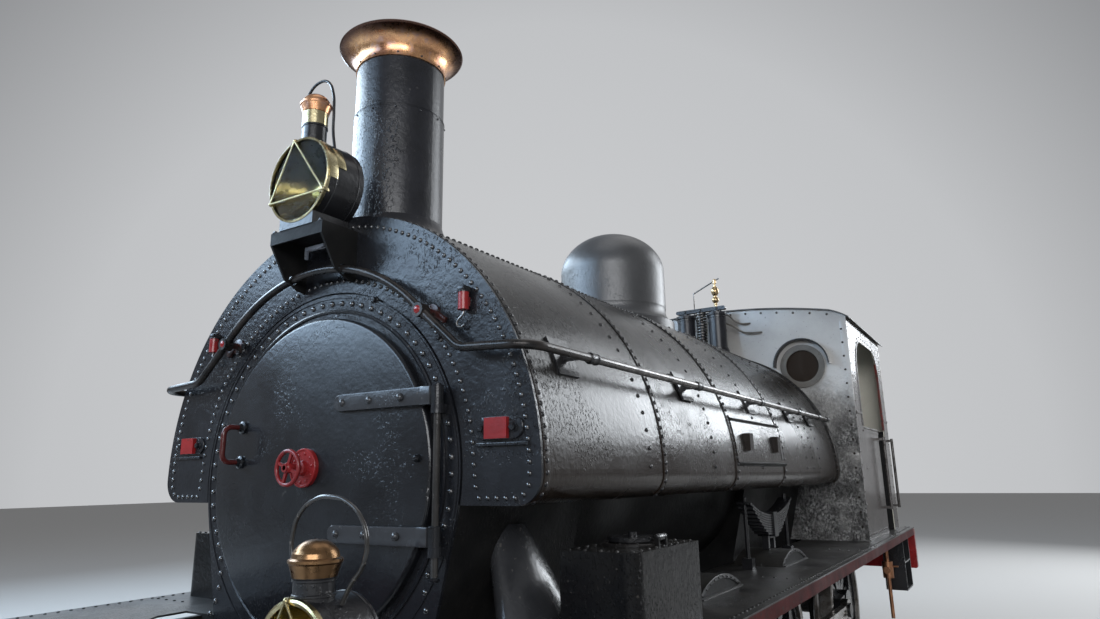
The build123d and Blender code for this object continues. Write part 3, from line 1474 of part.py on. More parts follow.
# Coupling rods: fluted bars with an eye on each crank pin
for side_name, side in sides:
    crank = radians(crank_angles[side_name])
    rod_z = axle_z + crank_throw * sin(crank)
    pin_places = [(axle_y + crank_throw * cos(crank), rod_z) for _, axle_y in axles]
    rod_start = rod_inner_x if side > 0 else -rod_inner_x - rod_thickness
    with BuildPart() as coupling_rod:
        with BuildSketch(along(rod_start)):
            with Locations(*pin_places):
                Circle(rod_eye_radius)
            middle_y = (pin_places[0][0] + pin_places[-1][0]) / 2
            with Locations((middle_y, rod_z)):
                Rectangle(pin_places[-1][0] - pin_places[0][0], rod_depth)
            with Locations(*pin_places):
                Circle(crank_pin_radius + running_fit, mode=Mode.SUBTRACT)
        extrude(amount=rod_thickness)
        flute_face = rod_inner_x + rod_thickness - rod_flute_depth
        flute_start = flute_face if side > 0 else -flute_face - rod_flute_depth
        with BuildSketch(along(flute_start)):
            for first, second in zip(pin_places, pin_places[1:]):
                flute_length = second[0] - first[0] - 2 * rod_eye_radius - 60
                with Locations(((first[0] + second[0]) / 2, rod_z)):
                    SlotOverall(flute_length, rod_flute_height)
        extrude(amount=rod_flute_depth, mode=Mode.SUBTRACT)
    save(coupling_rod, f"coupling_rod_{side_name}")

# Smokebox door: dished plate closed by a flat inner plate, with two hinge straps
rim_y = smokebox_front_y - front_ring - seat
face_y = rim_y - door_rim
crown_y = face_y - door_dish
handle_seat_y = crown_y + 8
with BuildPart() as smokebox_door:
    with BuildSketch(Plane(origin=(0, 0, boiler_z), x_dir=(1, 0, 0), z_dir=(0, 0, 1))):
        with BuildLine():
            corner = 14
            Line((0, crown_y), (0, rim_y))
            Line((0, rim_y), (door_radius, rim_y))
            Line((door_radius, rim_y), (door_radius, face_y + corner))
            ThreePointArc(
                (door_radius, face_y + corner),
                (door_radius - corner * 0.3, face_y + corner * 0.3),
                (door_radius - corner, face_y),
            )
            ThreePointArc(
                (door_radius - corner, face_y),
                ((door_radius - corner) / 2, crown_y + door_dish / 4),
                (boss_radius, crown_y),
            )
            Line((boss_radius, crown_y), (0, crown_y))
        make_face()
    revolve(axis=Axis((0, 0, boiler_z), (0, 1, 0)))
    for strap_z in (lower_strap_z, upper_strap_z):
        with BuildSketch(Plane.XY.offset(strap_z - strap_height / 2)):
            with BuildLine():
                strap_y = crown_y + 6
                Polyline(
                    (strap_end_x, crown_y + 8),
                    (strap_end_x, strap_y - strap_thickness),
                    (420, strap_y - strap_thickness + 4),
                    (hinge_x - 20, hinge_y - strap_eye_radius),
                    (hinge_x, hinge_y - strap_eye_radius),
                    (hinge_x, hinge_y + 8),
                    (hinge_x - 50, hinge_y + 8),
                    (560, face_y + 8),
                    close=True,
                )
            make_face()
            with Locations((hinge_x, hinge_y)):
                Circle(strap_eye_radius)
                Circle(hinge_rod_radius + running_fit, mode=Mode.SUBTRACT)
        extrude(amount=strap_height)
    with BuildSketch(across(face_y + 12)):
        with Locations((handle_x, handle_low_z), (handle_x, handle_high_z)):
            Circle(22)
    extrude(amount=face_y + 12 - handle_seat_y - seat)
save(smokebox_door, "smokebox_door")

# Door fittings: boss and handwheel on their spindle, and the grab handle
boss_front_y = crown_y - seat - boss_thickness
wheel_y = boss_front_y - wheel_offset
with BuildPart() as door_fittings:
    with BuildSketch(across(crown_y - seat)):
        with Locations((0, handwheel_z)):
            Circle(boss_radius)
    extrude(amount=boss_thickness)
    with BuildSketch(across(boss_front_y)):
        with Locations((0, handwheel_z)):
            Circle(16)
    extrude(amount=wheel_offset + 16)
    with Locations((0, wheel_y, handwheel_z)):
        Torus(handwheel_radius - handwheel_rim, handwheel_rim, rotation=(90, 0, 0))
        Box(2 * (handwheel_radius - handwheel_rim), 9, 12, rotation=(0, 20, 0))
        Box(12, 9, 2 * (handwheel_radius - handwheel_rim), rotation=(0, 20, 0))
    with BuildLine() as handle_path:
        FilletPolyline(
            (handle_x, handle_seat_y, handle_low_z),
            (handle_x, handle_seat_y - handle_reach, handle_low_z),
            (handle_x, handle_seat_y - handle_reach, handle_high_z),
            (handle_x, handle_seat_y, handle_high_z),
            radius=34,
        )
    with BuildSketch(Plane(origin=(handle_x, handle_seat_y, handle_low_z), z_dir=(0, -1, 0))):
        Circle(11)
    sweep(path=handle_path.wire())
save(door_fittings, "door_fittings")
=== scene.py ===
import json
from math import copysign, cos, pi, radians, sin, sqrt

import bmesh
import bpy
from mathutils import Matrix, Vector


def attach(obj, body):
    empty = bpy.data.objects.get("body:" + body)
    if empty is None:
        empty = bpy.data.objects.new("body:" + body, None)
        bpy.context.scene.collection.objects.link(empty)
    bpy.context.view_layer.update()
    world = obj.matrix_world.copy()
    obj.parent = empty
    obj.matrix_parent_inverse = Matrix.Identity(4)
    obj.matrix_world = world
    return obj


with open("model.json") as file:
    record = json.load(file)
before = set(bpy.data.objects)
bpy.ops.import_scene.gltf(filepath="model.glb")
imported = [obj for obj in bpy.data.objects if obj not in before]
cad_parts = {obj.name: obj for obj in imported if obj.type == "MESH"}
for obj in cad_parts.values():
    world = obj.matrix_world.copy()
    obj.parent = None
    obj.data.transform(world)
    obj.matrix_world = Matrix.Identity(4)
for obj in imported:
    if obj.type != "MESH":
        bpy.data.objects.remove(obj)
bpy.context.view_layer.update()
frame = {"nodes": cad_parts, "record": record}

nodes = frame["nodes"]
root = "locomotive"
door_body = "front_door"

# Directions: the locomotive's front faces -Y and its left side +X
to_front = (0, -1, 0)
to_rear = (0, 1, 0)
to_top = (0, 0, 1)

# Sizes in metres, from the solid model
boiler_z = 1.695
tank_front_y = -2.702
smokebox_face_y = -2.704
tank_wrap_y = -2.69
tank_rear_y = 1.844
tank_radius = 1.05
tank_lap = 0.006
tank_bottom = 1.58
tank_corner = 0.1
tank_seams = (-1.719, -0.787, 0.178)
seam_pitch = 0.0372
red_block_z = 1.8315
peg_x = 0.742
rail_joint = (0.5792, 2.264)
door_face_y = -2.7403
door_crown_y = -2.7653
handwheel_z = 1.717
handle_x = -0.43
strap_zs = (1.478, 1.955)
hinge_x = 0.645
hinge_y = -2.742
chimney_y = -2.33
upper_stack = (0, -2.825)
lower_stack = (0.838, -3.398)
sandbox_x = 1.094
sandbox_y = -2.165
valve_x = 0.15
valve_y = 1.66
plate_top = 1.123
splasher_x = 1.05
frame_x = 0.735
beam_y = 3.7
buffer_x = 0.97
buffer_z = 0.965
axles = {"leading": -1.16, "driving": 0.19, "trailing": 2.16}
axle_z = 0.58
cab_front_y = 1.844
cab_rear_y = 3.54
cab_half = 1.231
window_x = 0.834
window_z = 2.588


# Materials
class Nodes:
    """A node tree, with short ways to add to it."""

    def __init__(self, tree):
        self.tree = tree

    def feed(self, made, key, value):
        """Links a socket to an input of a node, or sets the input's constant."""
        socket = made.inputs[key]
        if isinstance(value, bpy.types.NodeSocket):
            self.tree.links.new(value, socket)
        elif socket.type == "RGBA":
            socket.default_value = (*value, 1)
        else:
            socket.default_value = value

    def add(self, kind, output, inputs=(), **settings):
        """Adds a node with (key, value) inputs and returns one of its outputs."""
        made = self.tree.nodes.new("ShaderNode" + kind)
        for key, value in settings.items():
            setattr(made, key, value)
        for key, value in inputs:
            self.feed(made, key, value)
        return made.outputs[output]

    def coords(self, stretch=None):
        """Object coordinates, stretched along the axes if wanted."""
        place = self.add("TexCoord", "Object")
        if stretch is None:
            return place
        return self.add("Mapping", "Vector", (("Scale", stretch), ("Vector", place)))

    def noise(self, coords, scale, detail=4, roughness=0.55, warp=0):
        return self.add("TexNoise", "Fac", (("Scale", scale), ("Detail", detail), ("Roughness", roughness),
                                            ("Distortion", warp), ("Vector", coords)))

    def ramp(self, fac, *stops):
        """A colour ramp through (place, colour or grey) stops."""
        made = self.tree.nodes.new("ShaderNodeValToRGB")
        elements = made.color_ramp.elements
        while len(elements) < len(stops):
            elements.new(0.5)
        for element, (place, colour) in zip(elements, stops):
            element.position = place
            element.color = (*colour, 1) if isinstance(colour, tuple) else (colour, colour, colour, 1)
        self.feed(made, "Fac", fac)
        return made.outputs["Color"]

    def times(self, a, b):
        return self.add("Math", 0, ((0, a), (1, b)), operation="MULTIPLY")

    def mix(self, fac, a, b):
        """A colour between two colours or colour sockets."""
        return self.add("Mix", 2, ((0, fac), (6, a), (7, b)), data_type="RGBA")

    def bump(self, height, strength, distance, below=None):
        inputs = [("Strength", strength), ("Distance", distance), ("Height", height)]
        if below is not None:
            inputs.append(("Normal", below))
        return self.add("Bump", "Normal", inputs)

    def along(self, axis, low, high):
        """0 to 1 along an object axis between two places in metres."""
        place = self.add("SeparateXYZ", axis, ((0, self.coords()),))
        return self.add("MapRange", "Result", (("From Min", low), ("From Max", high), ("Value", place)))

    def shaded(self, colour, shade):
        """Lays another colour over the low end of an axis: axis, low end, high end, colour."""
        if shade is None:
            return colour
        axis, low, high, other = shade
        return self.mix(self.along(axis, low, high), other, colour)


class Coat(Nodes):
    """The nodes of a new material with a principled shader."""

    def __init__(self, name):
        self.mat = bpy.data.materials.new(name)
        self.mat.use_nodes = True
        super().__init__(self.mat.node_tree)

    def done(self, inputs):
        """Feeds the shader and returns the material."""
        for key, value in inputs.items():
            self.feed(self.tree.nodes["Principled BSDF"], key, value)
        return self.mat


def paint(name, base, dark, worn, rough=(0.18, 0.36), peel=0.5, wave=0.35, lumps=0.7, lumps_at=0.54,
          worn_at=0.68, coat=0.2, dust=0, streak=None, shade=None, gloss=0.42):
    """Old gloss paint: brush waves, orange peel, crusty patches, dull areas, worn specks and dust."""
    made = Coat(name)
    coords = made.coords()
    big = made.noise(coords, 1.9, 5)
    middle = made.noise(coords, 7.5, 5)
    fine = made.noise(coords, 44)
    colour = made.mix(made.ramp(middle, (0.35, 0), (0.68, 1)), base, dark)
    colour = made.shaded(colour, shade)
    colour = made.mix(made.ramp(fine, (worn_at, 0), (worn_at + 0.05, 1)), colour, worn)
    if dust:
        slope = made.add("SeparateXYZ", "Z", ((0, made.add("NewGeometry", "Normal")),))
        level = made.ramp(slope, (0.5, 0), (1, dust))
        cover = made.times(level, made.ramp(middle, (0.3, 0.4), (0.7, 1)))
        colour = made.mix(cover, colour, (0.15, 0.135, 0.115))
    normal = made.bump(middle, wave, 0.007)
    normal = made.bump(fine, peel, 0.0026, normal)
    if lumps:
        drops = made.ramp(made.noise(made.coords((1, 1, 0.6)), 105, 2), (0.56, 0), (0.66, 1))
        where = made.ramp(made.noise(coords, 2.6, 3), (lumps_at, 0), (lumps_at + 0.09, 1))
        normal = made.bump(made.times(drops, where), lumps, 0.0035, normal)
    if streak:
        normal = made.bump(made.noise(made.coords(streak), 1, 3), 0.3, 0.0012, normal)
    return made.done({"Base Color": colour, "Normal": normal,
                      "Roughness": made.ramp(big, (0.32, rough[0]), (0.66, rough[1])),
                      "Specular IOR Level": gloss, "Coat Weight": coat * 0.6, "Coat Roughness": 0.12})


def cab_paint(name, shade=None, rough=(0.14, 0.26), coat=0.5, streak=(8, 40, 3)):
    """The brown grey of the cab's sides and rear, cream inside where the shade says so."""
    return paint(name, (0.052, 0.041, 0.036), (0.03, 0.024, 0.021), (0.02, 0.017, 0.015), rough=rough,
                 peel=0.3, wave=0.5, worn_at=0.72, coat=coat, lumps=0.4, streak=streak, shade=shade)


def metal(name, base, dark, third, rough=(0.2, 0.4), cloud_scale=7, shade=None):
    """Bare metal with tarnish clouds in three tones, spots and fine scratches."""
    made = Coat(name)
    coords = made.coords()
    cloud = made.noise(coords, cloud_scale, 6, 0.65, 0.4)
    small = made.noise(coords, cloud_scale * 4.5, 5, 0.6)
    colour = made.mix(made.ramp(cloud, (0.4, 0), (0.64, 1)), base, dark)
    colour = made.mix(made.ramp(small, (0.52, 0), (0.72, 0.8)), colour, third)
    normal = made.bump(cloud, 0.25, 0.004)
    normal = made.bump(made.noise(made.coords((60, 60, 330)), 1, 2), 0.3, 0.0006, normal)
    return made.done({"Base Color": made.shaded(colour, shade), "Normal": normal, "Metallic": 1,
                      "Roughness": made.ramp(small, (0.3, rough[0]), (0.7, rough[1]))})


def crusty_grey(name):
    """Cab front: pale grey paint above, thick dark flaking crust low down and beside the firebox, with
    painted shade and light on the crust's relief.
    """
    made = Coat(name)
    coords = made.coords()
    cloud = made.noise(coords, 3.2, 6, 0.6)
    fine = made.noise(coords, 38, 5, 0.62)
    flakes = made.noise(made.coords((1, 1, 0.7)), 52, 8, 0.75)
    chips = made.add("TexVoronoi", "Distance", (("Scale", 34), ("Detail", 2), ("Vector", coords)))
    crust = made.times(made.along("Z", 2.55, 1.95), made.ramp(cloud, (0.34, 0.1), (0.52, 1)))
    patches = made.ramp(cloud, (0.35, 0), (0.65, 1))
    pale = made.mix(patches, (0.34, 0.325, 0.305), (0.25, 0.238, 0.225))
    pale = made.mix(made.ramp(made.along("Z", 3.05, 2.35), (0, 0), (1, 0.75)), pale, (0.64, 0.63, 0.615))
    pale = made.mix(made.ramp(fine, (0.62, 0), (0.72, 0.7)), pale, (0.09, 0.085, 0.08))
    # The crust's colour follows the flakes' height, dark in the hollows and pale on the raised tops: partly
    # the crust's own tones, partly painted shade and light of its relief
    torn_crust_and_painted_relief = made.ramp(flakes, (0.42, (0.05, 0.048, 0.047)), (0.5, (0.3, 0.296, 0.29)),
                     (0.57, (0.8, 0.795, 0.79)))
    sooty = made.ramp(made.noise(coords, 8, 5, 0.65), (0.42, 0.7), (0.58, 0))
    torn_crust_and_painted_relief = made.mix(sooty, torn_crust_and_painted_relief, (0.05, 0.048, 0.046))
    normal = made.bump(cloud, 0.3, 0.01)
    normal = made.bump(fine, 0.3, 0.0025, normal)
    normal = made.bump(made.times(chips, crust), 1, 0.035, normal)
    normal = made.bump(made.times(flakes, crust), 1, 0.07, normal)
    return made.done({"Base Color": made.mix(crust, pale, torn_crust_and_painted_relief), "Normal": normal,
                      "Roughness": made.ramp(fine, (0.3, 0.28), (0.7, 0.5)),
                      "Coat Weight": 0.6, "Coat Roughness": 0.16})


def rail_metal(name):
    """Handrail: dark and greasy round the front, rubbed bright along the sides."""
    made = Coat(name)
    coords = made.coords()
    cloud = made.noise(coords, 16, 5, 0.6)
    dark = made.ramp(cloud, (0.4, (0.02, 0.019, 0.019)), (0.65, (0.045, 0.038, 0.034)))
    bright = made.ramp(cloud, (0.4, (0.17, 0.16, 0.155)), (0.62, (0.05, 0.045, 0.042)))
    return made.done({"Base Color": made.mix(made.along("Y", -2.6, -1.9), dark, bright), "Metallic": 0.6,
                      "Normal": made.bump(made.noise(coords, 120, 3), 0.35, 0.0008),
                      "Roughness": made.ramp(cloud, (0.3, 0.2), (0.7, 0.42))})


def painted_reflection_brass(name):
    """Old silvered brass bowl with a painted reflection: yellow and bright low down, dull grey at the top."""
    made = Coat(name)
    cloud = made.noise(made.coords(), 16, 5, 0.6)
    # Painted reflection: the bright yellow low half and the dark grey top stand for what the bowl reflects
    low = made.ramp(cloud, (0.4, (0.42, 0.33, 0.11)), (0.6, (0.15, 0.115, 0.035)))
    high = made.ramp(cloud, (0.4, (0.05, 0.043, 0.024)), (0.6, (0.022, 0.019, 0.012)))
    return made.done({"Base Color": made.mix(made.along("Z", 2.8, 2.93), low, high), "Metallic": 1,
                      "Normal": made.bump(cloud, 0.3, 0.003),
                      "Roughness": made.ramp(cloud, (0.35, 0.16), (0.7, 0.34))})


def glass_material(name, tint=(0.9, 0.92, 0.9), clear=1, bend=1.15):
    made = Coat(name)
    cloud = made.noise(made.coords(), 12)
    return made.done({"Base Color": tint, "Roughness": made.ramp(cloud, (0.45, 0.02), (0.8, 0.12)),
                      "Transmission Weight": clear, "IOR": bend})


cream = (0.75, 0.72, 0.62)
black = paint("black_gloss", (0.0075, 0.0075, 0.0085), (0.014, 0.014, 0.016), (0.05, 0.046, 0.044))
tank_black = paint(
    "tank_black_gloss", (0.0085, 0.008, 0.008), (0.015, 0.0135, 0.012), (0.06, 0.045, 0.036), (0.2, 0.32),
    peel=0.55, wave=0.25, lumps=1, lumps_at=0.48, worn_at=0.7, coat=0.1, gloss=0.24, streak=(10, 150, 10),
    shade=("Z", 1.7, 2.15, (0.016, 0.0105, 0.0075)))
front_black = paint(
    "front_plate_gloss", (0.008, 0.0085, 0.0105), (0.015, 0.016, 0.019), (0.06, 0.055, 0.052),
    (0.18, 0.34), peel=0.6, lumps=1, lumps_at=0.5, gloss=0.32)
door_black = paint(
    "door_black", (0.0065, 0.007, 0.0085), (0.011, 0.012, 0.0145), (0.042, 0.04, 0.038), (0.18, 0.34),
    peel=0.4, wave=0.3, lumps=0.4, lumps_at=0.52, worn_at=0.71, coat=0.28, gloss=0.4)
chimney_black = paint(
    "chimney_black", (0.009, 0.0095, 0.012), (0.017, 0.0175, 0.022), (0.055, 0.052, 0.055), (0.24, 0.38),
    peel=0.6, wave=0.2, lumps=0.9, lumps_at=0.46, coat=0.12, gloss=0.4)
strap_black = paint(
    "strap_black", (0.024, 0.025, 0.028), (0.036, 0.037, 0.04), (0.09, 0.085, 0.08), (0.2, 0.34),
    wave=0.2, lumps=0.3, worn_at=0.66, coat=0.35)
dome_black = paint(
    "dome_black", (0.034, 0.0345, 0.036), (0.048, 0.048, 0.05), (0.06, 0.055, 0.052), (0.32, 0.44),
    peel=0.45, wave=0.15, lumps=0.4, worn_at=0.72, coat=0, gloss=0.9)
rivet_black = paint(
    "rivet_black", (0.009, 0.0095, 0.011), (0.016, 0.017, 0.019), (0.09, 0.08, 0.075), (0.1, 0.2),
    peel=0.3, wave=0, lumps=0, worn_at=0.62, coat=1, gloss=0.85)
box_black = paint(
    "box_black", (0.0055, 0.0055, 0.006), (0.011, 0.0105, 0.01), (0.05, 0.045, 0.04), (0.14, 0.3),
    peel=0.8, lumps=1, lumps_at=0.42, dust=0.06, coat=0, gloss=0.16)
rod_black = paint(
    "rod_black", (0.02, 0.019, 0.018), (0.045, 0.042, 0.04), (0.12, 0.11, 0.1), (0.12, 0.26), peel=0.3,
    wave=0.1, lumps=0, worn_at=0.64, coat=0.5)
plate_black = paint(
    "plate_black", (0.01, 0.01, 0.011), (0.02, 0.0185, 0.017), (0.06, 0.05, 0.042), (0.26, 0.55),
    peel=0.7, lumps=0.9, lumps_at=0.48, dust=0.06, gloss=0.22)
grease = paint(
    "black_grease", (0.007, 0.007, 0.007), (0.014, 0.013, 0.012), (0.03, 0.027, 0.024), (0.35, 0.65),
    coat=0, lumps=0.6, gloss=0.25)
soot = paint(
    "sooty_black", (0.006, 0.006, 0.0062), (0.012, 0.0115, 0.011), (0.03, 0.026, 0.022), (0.45, 0.75),
    peel=0.7, coat=0, lumps=0.8, dust=0.1, gloss=0.2)
iron = paint(
    "cast_iron", (0.02, 0.018, 0.016), (0.036, 0.029, 0.023), (0.075, 0.05, 0.034), (0.45, 0.75),
    peel=0.8, coat=0, lumps=0.8, dust=0.25)
red = paint(
    "red_gloss", (0.29, 0.015, 0.016), (0.18, 0.011, 0.012), (0.06, 0.02, 0.016), worn_at=0.64, peel=0.4,
    lumps=0)
fittings_red = paint(
    "fittings_red", (0.24, 0.013, 0.014), (0.15, 0.01, 0.011), (0.06, 0.02, 0.016), worn_at=0.64, peel=0.4,
    lumps=0, shade=("X", -0.38, -0.3, (0.07, 0.01, 0.009)))
dull_red = paint(
    "valance_red", (0.075, 0.008, 0.008), (0.032, 0.006, 0.006), (0.03, 0.02, 0.018), (0.5, 0.8),
    worn_at=0.6, lumps=0.4, coat=0, gloss=0.1)
rust_red = paint(
    "worn_red", (0.2, 0.028, 0.02), (0.1, 0.022, 0.018), (0.05, 0.03, 0.025), (0.35, 0.55),
    worn_at=0.56, lumps=0.5)
dark_red = paint(
    "dark_red", (0.06, 0.012, 0.01), (0.025, 0.01, 0.009), (0.02, 0.015, 0.013), (0.25, 0.45),
    worn_at=0.55, lumps=0.4)
side_grey = cab_paint("cab_side_grey")
left_side = cab_paint("cab_left_side", ("X", 1.2275, 1.2295, cream))
right_side = cab_paint("cab_right_side", ("X", -1.2275, -1.2295, cream))
rear_grey = cab_paint("cab_rear_grey", ("Y", 3.5365, 3.5385, cream), (0.2, 0.36), 0.3, None)
# Pale blue grey painted as light: it makes the bracket clip look brightly lit
clip_painted_light = paint(
    "clip_painted_light", (0.62, 0.66, 0.74), (0.42, 0.45, 0.52), (0.06, 0.055, 0.05), (0.4, 0.6), worn_at=0.6,
    coat=0, lumps=0)
roof_grey = paint(
    "roof_grey", (0.13, 0.125, 0.12), (0.07, 0.066, 0.062), (0.035, 0.032, 0.03), (0.4, 0.6), wave=0.5,
    worn_at=0.64, coat=0.05, dust=0.5)
ring_grey = paint(
    "ring_grey", (0.14, 0.13, 0.115), (0.085, 0.08, 0.072), (0.05, 0.045, 0.04), (0.26, 0.45), peel=0.4,
    wave=0.3, worn_at=0.66, coat=0.1, lumps=0)
# Dark grey painted as the shade inside the window hoods
hood_painted_shade = paint(
    "hood_painted_shade", (0.022, 0.021, 0.021), (0.012, 0.012, 0.012), (0.06, 0.06, 0.06), (0.3, 0.5),
    worn_at=0.66, lumps=0)
floor_wood = paint(
    "floor_boards", (0.075, 0.05, 0.032), (0.045, 0.03, 0.02), (0.02, 0.017, 0.015), (0.6, 0.85),
    worn_at=0.6, coat=0, lumps=0, dust=0.3, streak=(60, 4, 60))
copper = metal("copper", (0.88, 0.47, 0.22), (0.42, 0.19, 0.1), (0.5, 0.33, 0.29))
cap_copper = metal("cap_copper", (0.9, 0.5, 0.25), (0.4, 0.19, 0.11), (0.5, 0.34, 0.32), (0.2, 0.38),
                   shade=("Z", 3.722, 3.69, (0.11, 0.06, 0.045)))
lamp_copper = metal("lamp_copper", (0.82, 0.43, 0.22), (0.42, 0.19, 0.1), (0.5, 0.33, 0.29),
                    shade=("Z", 1.6, 3, (0.26, 0.15, 0.075)))
brown_copper = metal("brown_copper", (0.4, 0.2, 0.11), (0.18, 0.085, 0.05), (0.12, 0.06, 0.045), (0.28, 0.5))
brass = metal("brass", (0.6, 0.45, 0.26), (0.34, 0.24, 0.12), (0.22, 0.16, 0.09), (0.16, 0.36))
pale_brass = metal("pale_brass", (0.66, 0.58, 0.36), (0.4, 0.34, 0.18), (0.25, 0.21, 0.12), (0.16, 0.34))
steel = metal("bright_steel", (0.5, 0.49, 0.48), (0.2, 0.18, 0.16), (0.12, 0.1, 0.09), (0.18, 0.38), 12)
wire_steel = metal("wire_steel", (0.3, 0.29, 0.28), (0.1, 0.09, 0.085), (0.06, 0.05, 0.045), (0.25, 0.42), 14)
tyre_steel = metal("tyre_steel", (0.3, 0.29, 0.28), (0.13, 0.11, 0.09), (0.09, 0.07, 0.05), (0.26, 0.5))
reflector_painted_reflection = painted_reflection_brass("lamp_reflector_painted_reflection")
glass = glass_material("clear_glass", bend=1.05)

by_slot = {"tank_black": tank_black, "red_paint": red, "cab_grey": side_grey, "copper": copper,
           "brass": brass, "bright_steel": steel, "tyre_steel": tyre_steel, "iron": iron, "glass": glass}
by_node = {
    "cab_floor": floor_wood,
    "cab_front": crusty_grey("cab_grey"),
    "cab_rear": rear_grey,
    "cab_roof": roof_grey,
    "cab_side_left": left_side,
    "cab_side_right": right_side,
    "chimney": chimney_black,
    "chimney_cap": cap_copper,
    "dome": dome_black,
    "door_fittings": fittings_red,
    "handrail": rail_metal("handrail_metal"),
    "injector_pipes": brown_copper,
    "lamp_caps": lamp_copper,
    "main_frame_left": grease,
    "main_frame_right": grease,
    "running_plate": plate_black,
    "safety_valves": chimney_black,
    "sandboxes": box_black,
    "smokebox_door": door_black,
    "smokebox_front": front_black,
    "steam_pipe_covers": strap_black,
    "tank_front_plate": front_black,
    "valances": dull_red,
    # Window glass tinted dark brown and half clear
    "window_glass": glass_material("dark_brown_glass", (0.055, 0.042, 0.034), 0.5),
    "window_rims": ring_grey,
}
for name in ("boiler", "coal_bunker", "cylinder_block", "frame_stretchers", "lamp_bracket", "smokebox",
             "wheel_splashers"):
    by_node[name] = soot

slot_of = {entry["node"]: entry["material_slot"] for entry in frame["record"]["subparts"]}
for name, obj in nodes.items():
    mat = by_node.get(name) or by_slot.get(slot_of.get(name), black)
    if not obj.material_slots:
        obj.data.materials.append(mat)
    for material_slot in obj.material_slots:
        material_slot.material = mat


# Helpers for small pieces
bm = bmesh.new()


def link(name, data):
    obj = bpy.data.objects.new(name, data)
    bpy.context.collection.objects.link(obj)
    return obj


def add_mesh(name, mat, body=root):
    """Turns what the helpers have put into the bmesh into a piece that rides on a body."""
    data = bpy.data.meshes.new(name)
    bm.normal_update()
    bm.to_mesh(data)
    bm.clear()
    data.materials.append(mat)
    for polygon in data.polygons:
        polygon.use_smooth = True
    data.set_sharp_from_angle(angle=radians(38))
    obj = link(name, data)
    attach(obj, body)


def tube(name, points, radius, mat, smooth=True, sides=3):
    """A round bar through points."""
    curve = bpy.data.curves.new(name, "CURVE")
    curve.dimensions = "3D"
    curve.bevel_depth = radius
    curve.bevel_resolution = sides
    curve.resolution_u = 8
    curve.use_fill_caps = True
    curve.materials.append(mat)
    spline = curve.splines.new("BEZIER")
    spline.bezier_points.add(len(points) - 1)
    bend = "AUTO" if smooth else "VECTOR"
    for spot, place in zip(spline.bezier_points, points):
        spot.co = place
        spot.handle_left_type = bend
        spot.handle_right_type = bend
    obj = link(name, curve)
    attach(obj, root)


def arc(centre, radius, start, end, steps):
    """Points (a, b) round a centre, angles in degrees."""
    angles = [radians(start + (end - start) * index / steps) for index in range(steps + 1)]
    a, b = centre
    return [(a + radius * cos(angle), b + radius * sin(angle)) for angle in angles]


def circle(count, radius, first=0, centre=(0, 0)):
    """Evenly spaced points (a, b) round a centre, the first one at an angle in degrees."""
    return arc(centre, radius, first, first + 360, count)[:-1]


def spaced(points, pitch):
    """Points evenly spaced along a line of points, near the pitch."""
    line = [Vector(point) for point in points]
    lengths = [0]
    for first, second in zip(line, line[1:]):
        lengths.append(lengths[-1] + (second - first).length)
    count = max(1, round(lengths[-1] / pitch))
    places = []
    segment = 0
    for index in range(count + 1):
        wanted = lengths[-1] * index / count
        while segment < len(lengths) - 2 and lengths[segment + 1] < wanted:
            segment += 1
        share = (wanted - lengths[segment]) / max(lengths[segment + 1] - lengths[segment], 1e-9)
        places.append(line[segment].lerp(line[segment + 1], share))
    return places


def lathe(profile, place, sides, normal=to_top):
    """Revolves (radius, height) points round a direction at a place."""
    turn = Vector(normal).to_track_quat("Z", "Y").to_matrix().to_4x4()
    matrix = Matrix.Translation(place) @ turn
    rings = []
    for radius, height in profile:
        around = circle(sides, radius) if radius > 1e-6 else [(0, 0)]
        rings.append([bm.verts.new(matrix @ Vector((a, b, height))) for a, b in around])
    for low, high in zip(rings, rings[1:]):
        for index in range(sides):
            after = (index + 1) % sides
            corners = dict.fromkeys((low[index % len(low)], low[after % len(low)],
                                     high[after % len(high)], high[index % len(high)]))
            if len(corners) > 2:
                bm.faces.new(list(corners))


def add_bead(place, inner, outer, sides):
    """A flat upright ring with bevelled edges; inner and outer are (radius, half height)."""
    lathe(((inner[0], -inner[1]), (outer[0], -outer[1]), outer, inner), place, sides)


def add_dome(place, normal, radius, height=None, sides=8):
    """One snap head rivet."""
    height = height or radius * 0.72
    lathe(((radius, -0.1 * height), (radius * 0.88, 0.5 * height), (radius * 0.5, 0.9 * height), (0, height)),
          place, sides, normal)


def add_bolt(place, normal, radius, height=None, washer=True):
    """Hexagon bolt head with a chamfered top on a round washer."""
    height = height or radius * 0.9
    base = height * 0.3 if washer else 0
    if washer:
        wide = radius * 1.35
        lathe(((wide, -0.001), (wide, base * 0.7), (radius * 1.25, base), (0, base)), place, 16, normal)
    lathe(((radius, base - 0.001), (radius, base + height * 0.8), (radius * 0.8, base + height),
           (0, base + height)), place, 6, normal)


def add_block(centre, size, bevel, turn=Matrix()):
    """A block with bevelled edges."""
    made = bmesh.ops.create_cube(bm, size=1, matrix=Matrix.Diagonal((*size, 1)))
    edges = {edge for vert in made["verts"] for edge in vert.link_edges}
    cut = bmesh.ops.bevel(bm, geom=list(edges), offset=min(bevel, 0.4 * min(size)), segments=2, profile=0.5,
                          affect="EDGES")
    verts = {vert for face in cut["faces"] for vert in face.verts}
    verts |= {vert for vert in made["verts"] if vert.is_valid}
    bmesh.ops.transform(bm, matrix=Matrix.Translation(centre) @ turn, verts=list(verts))


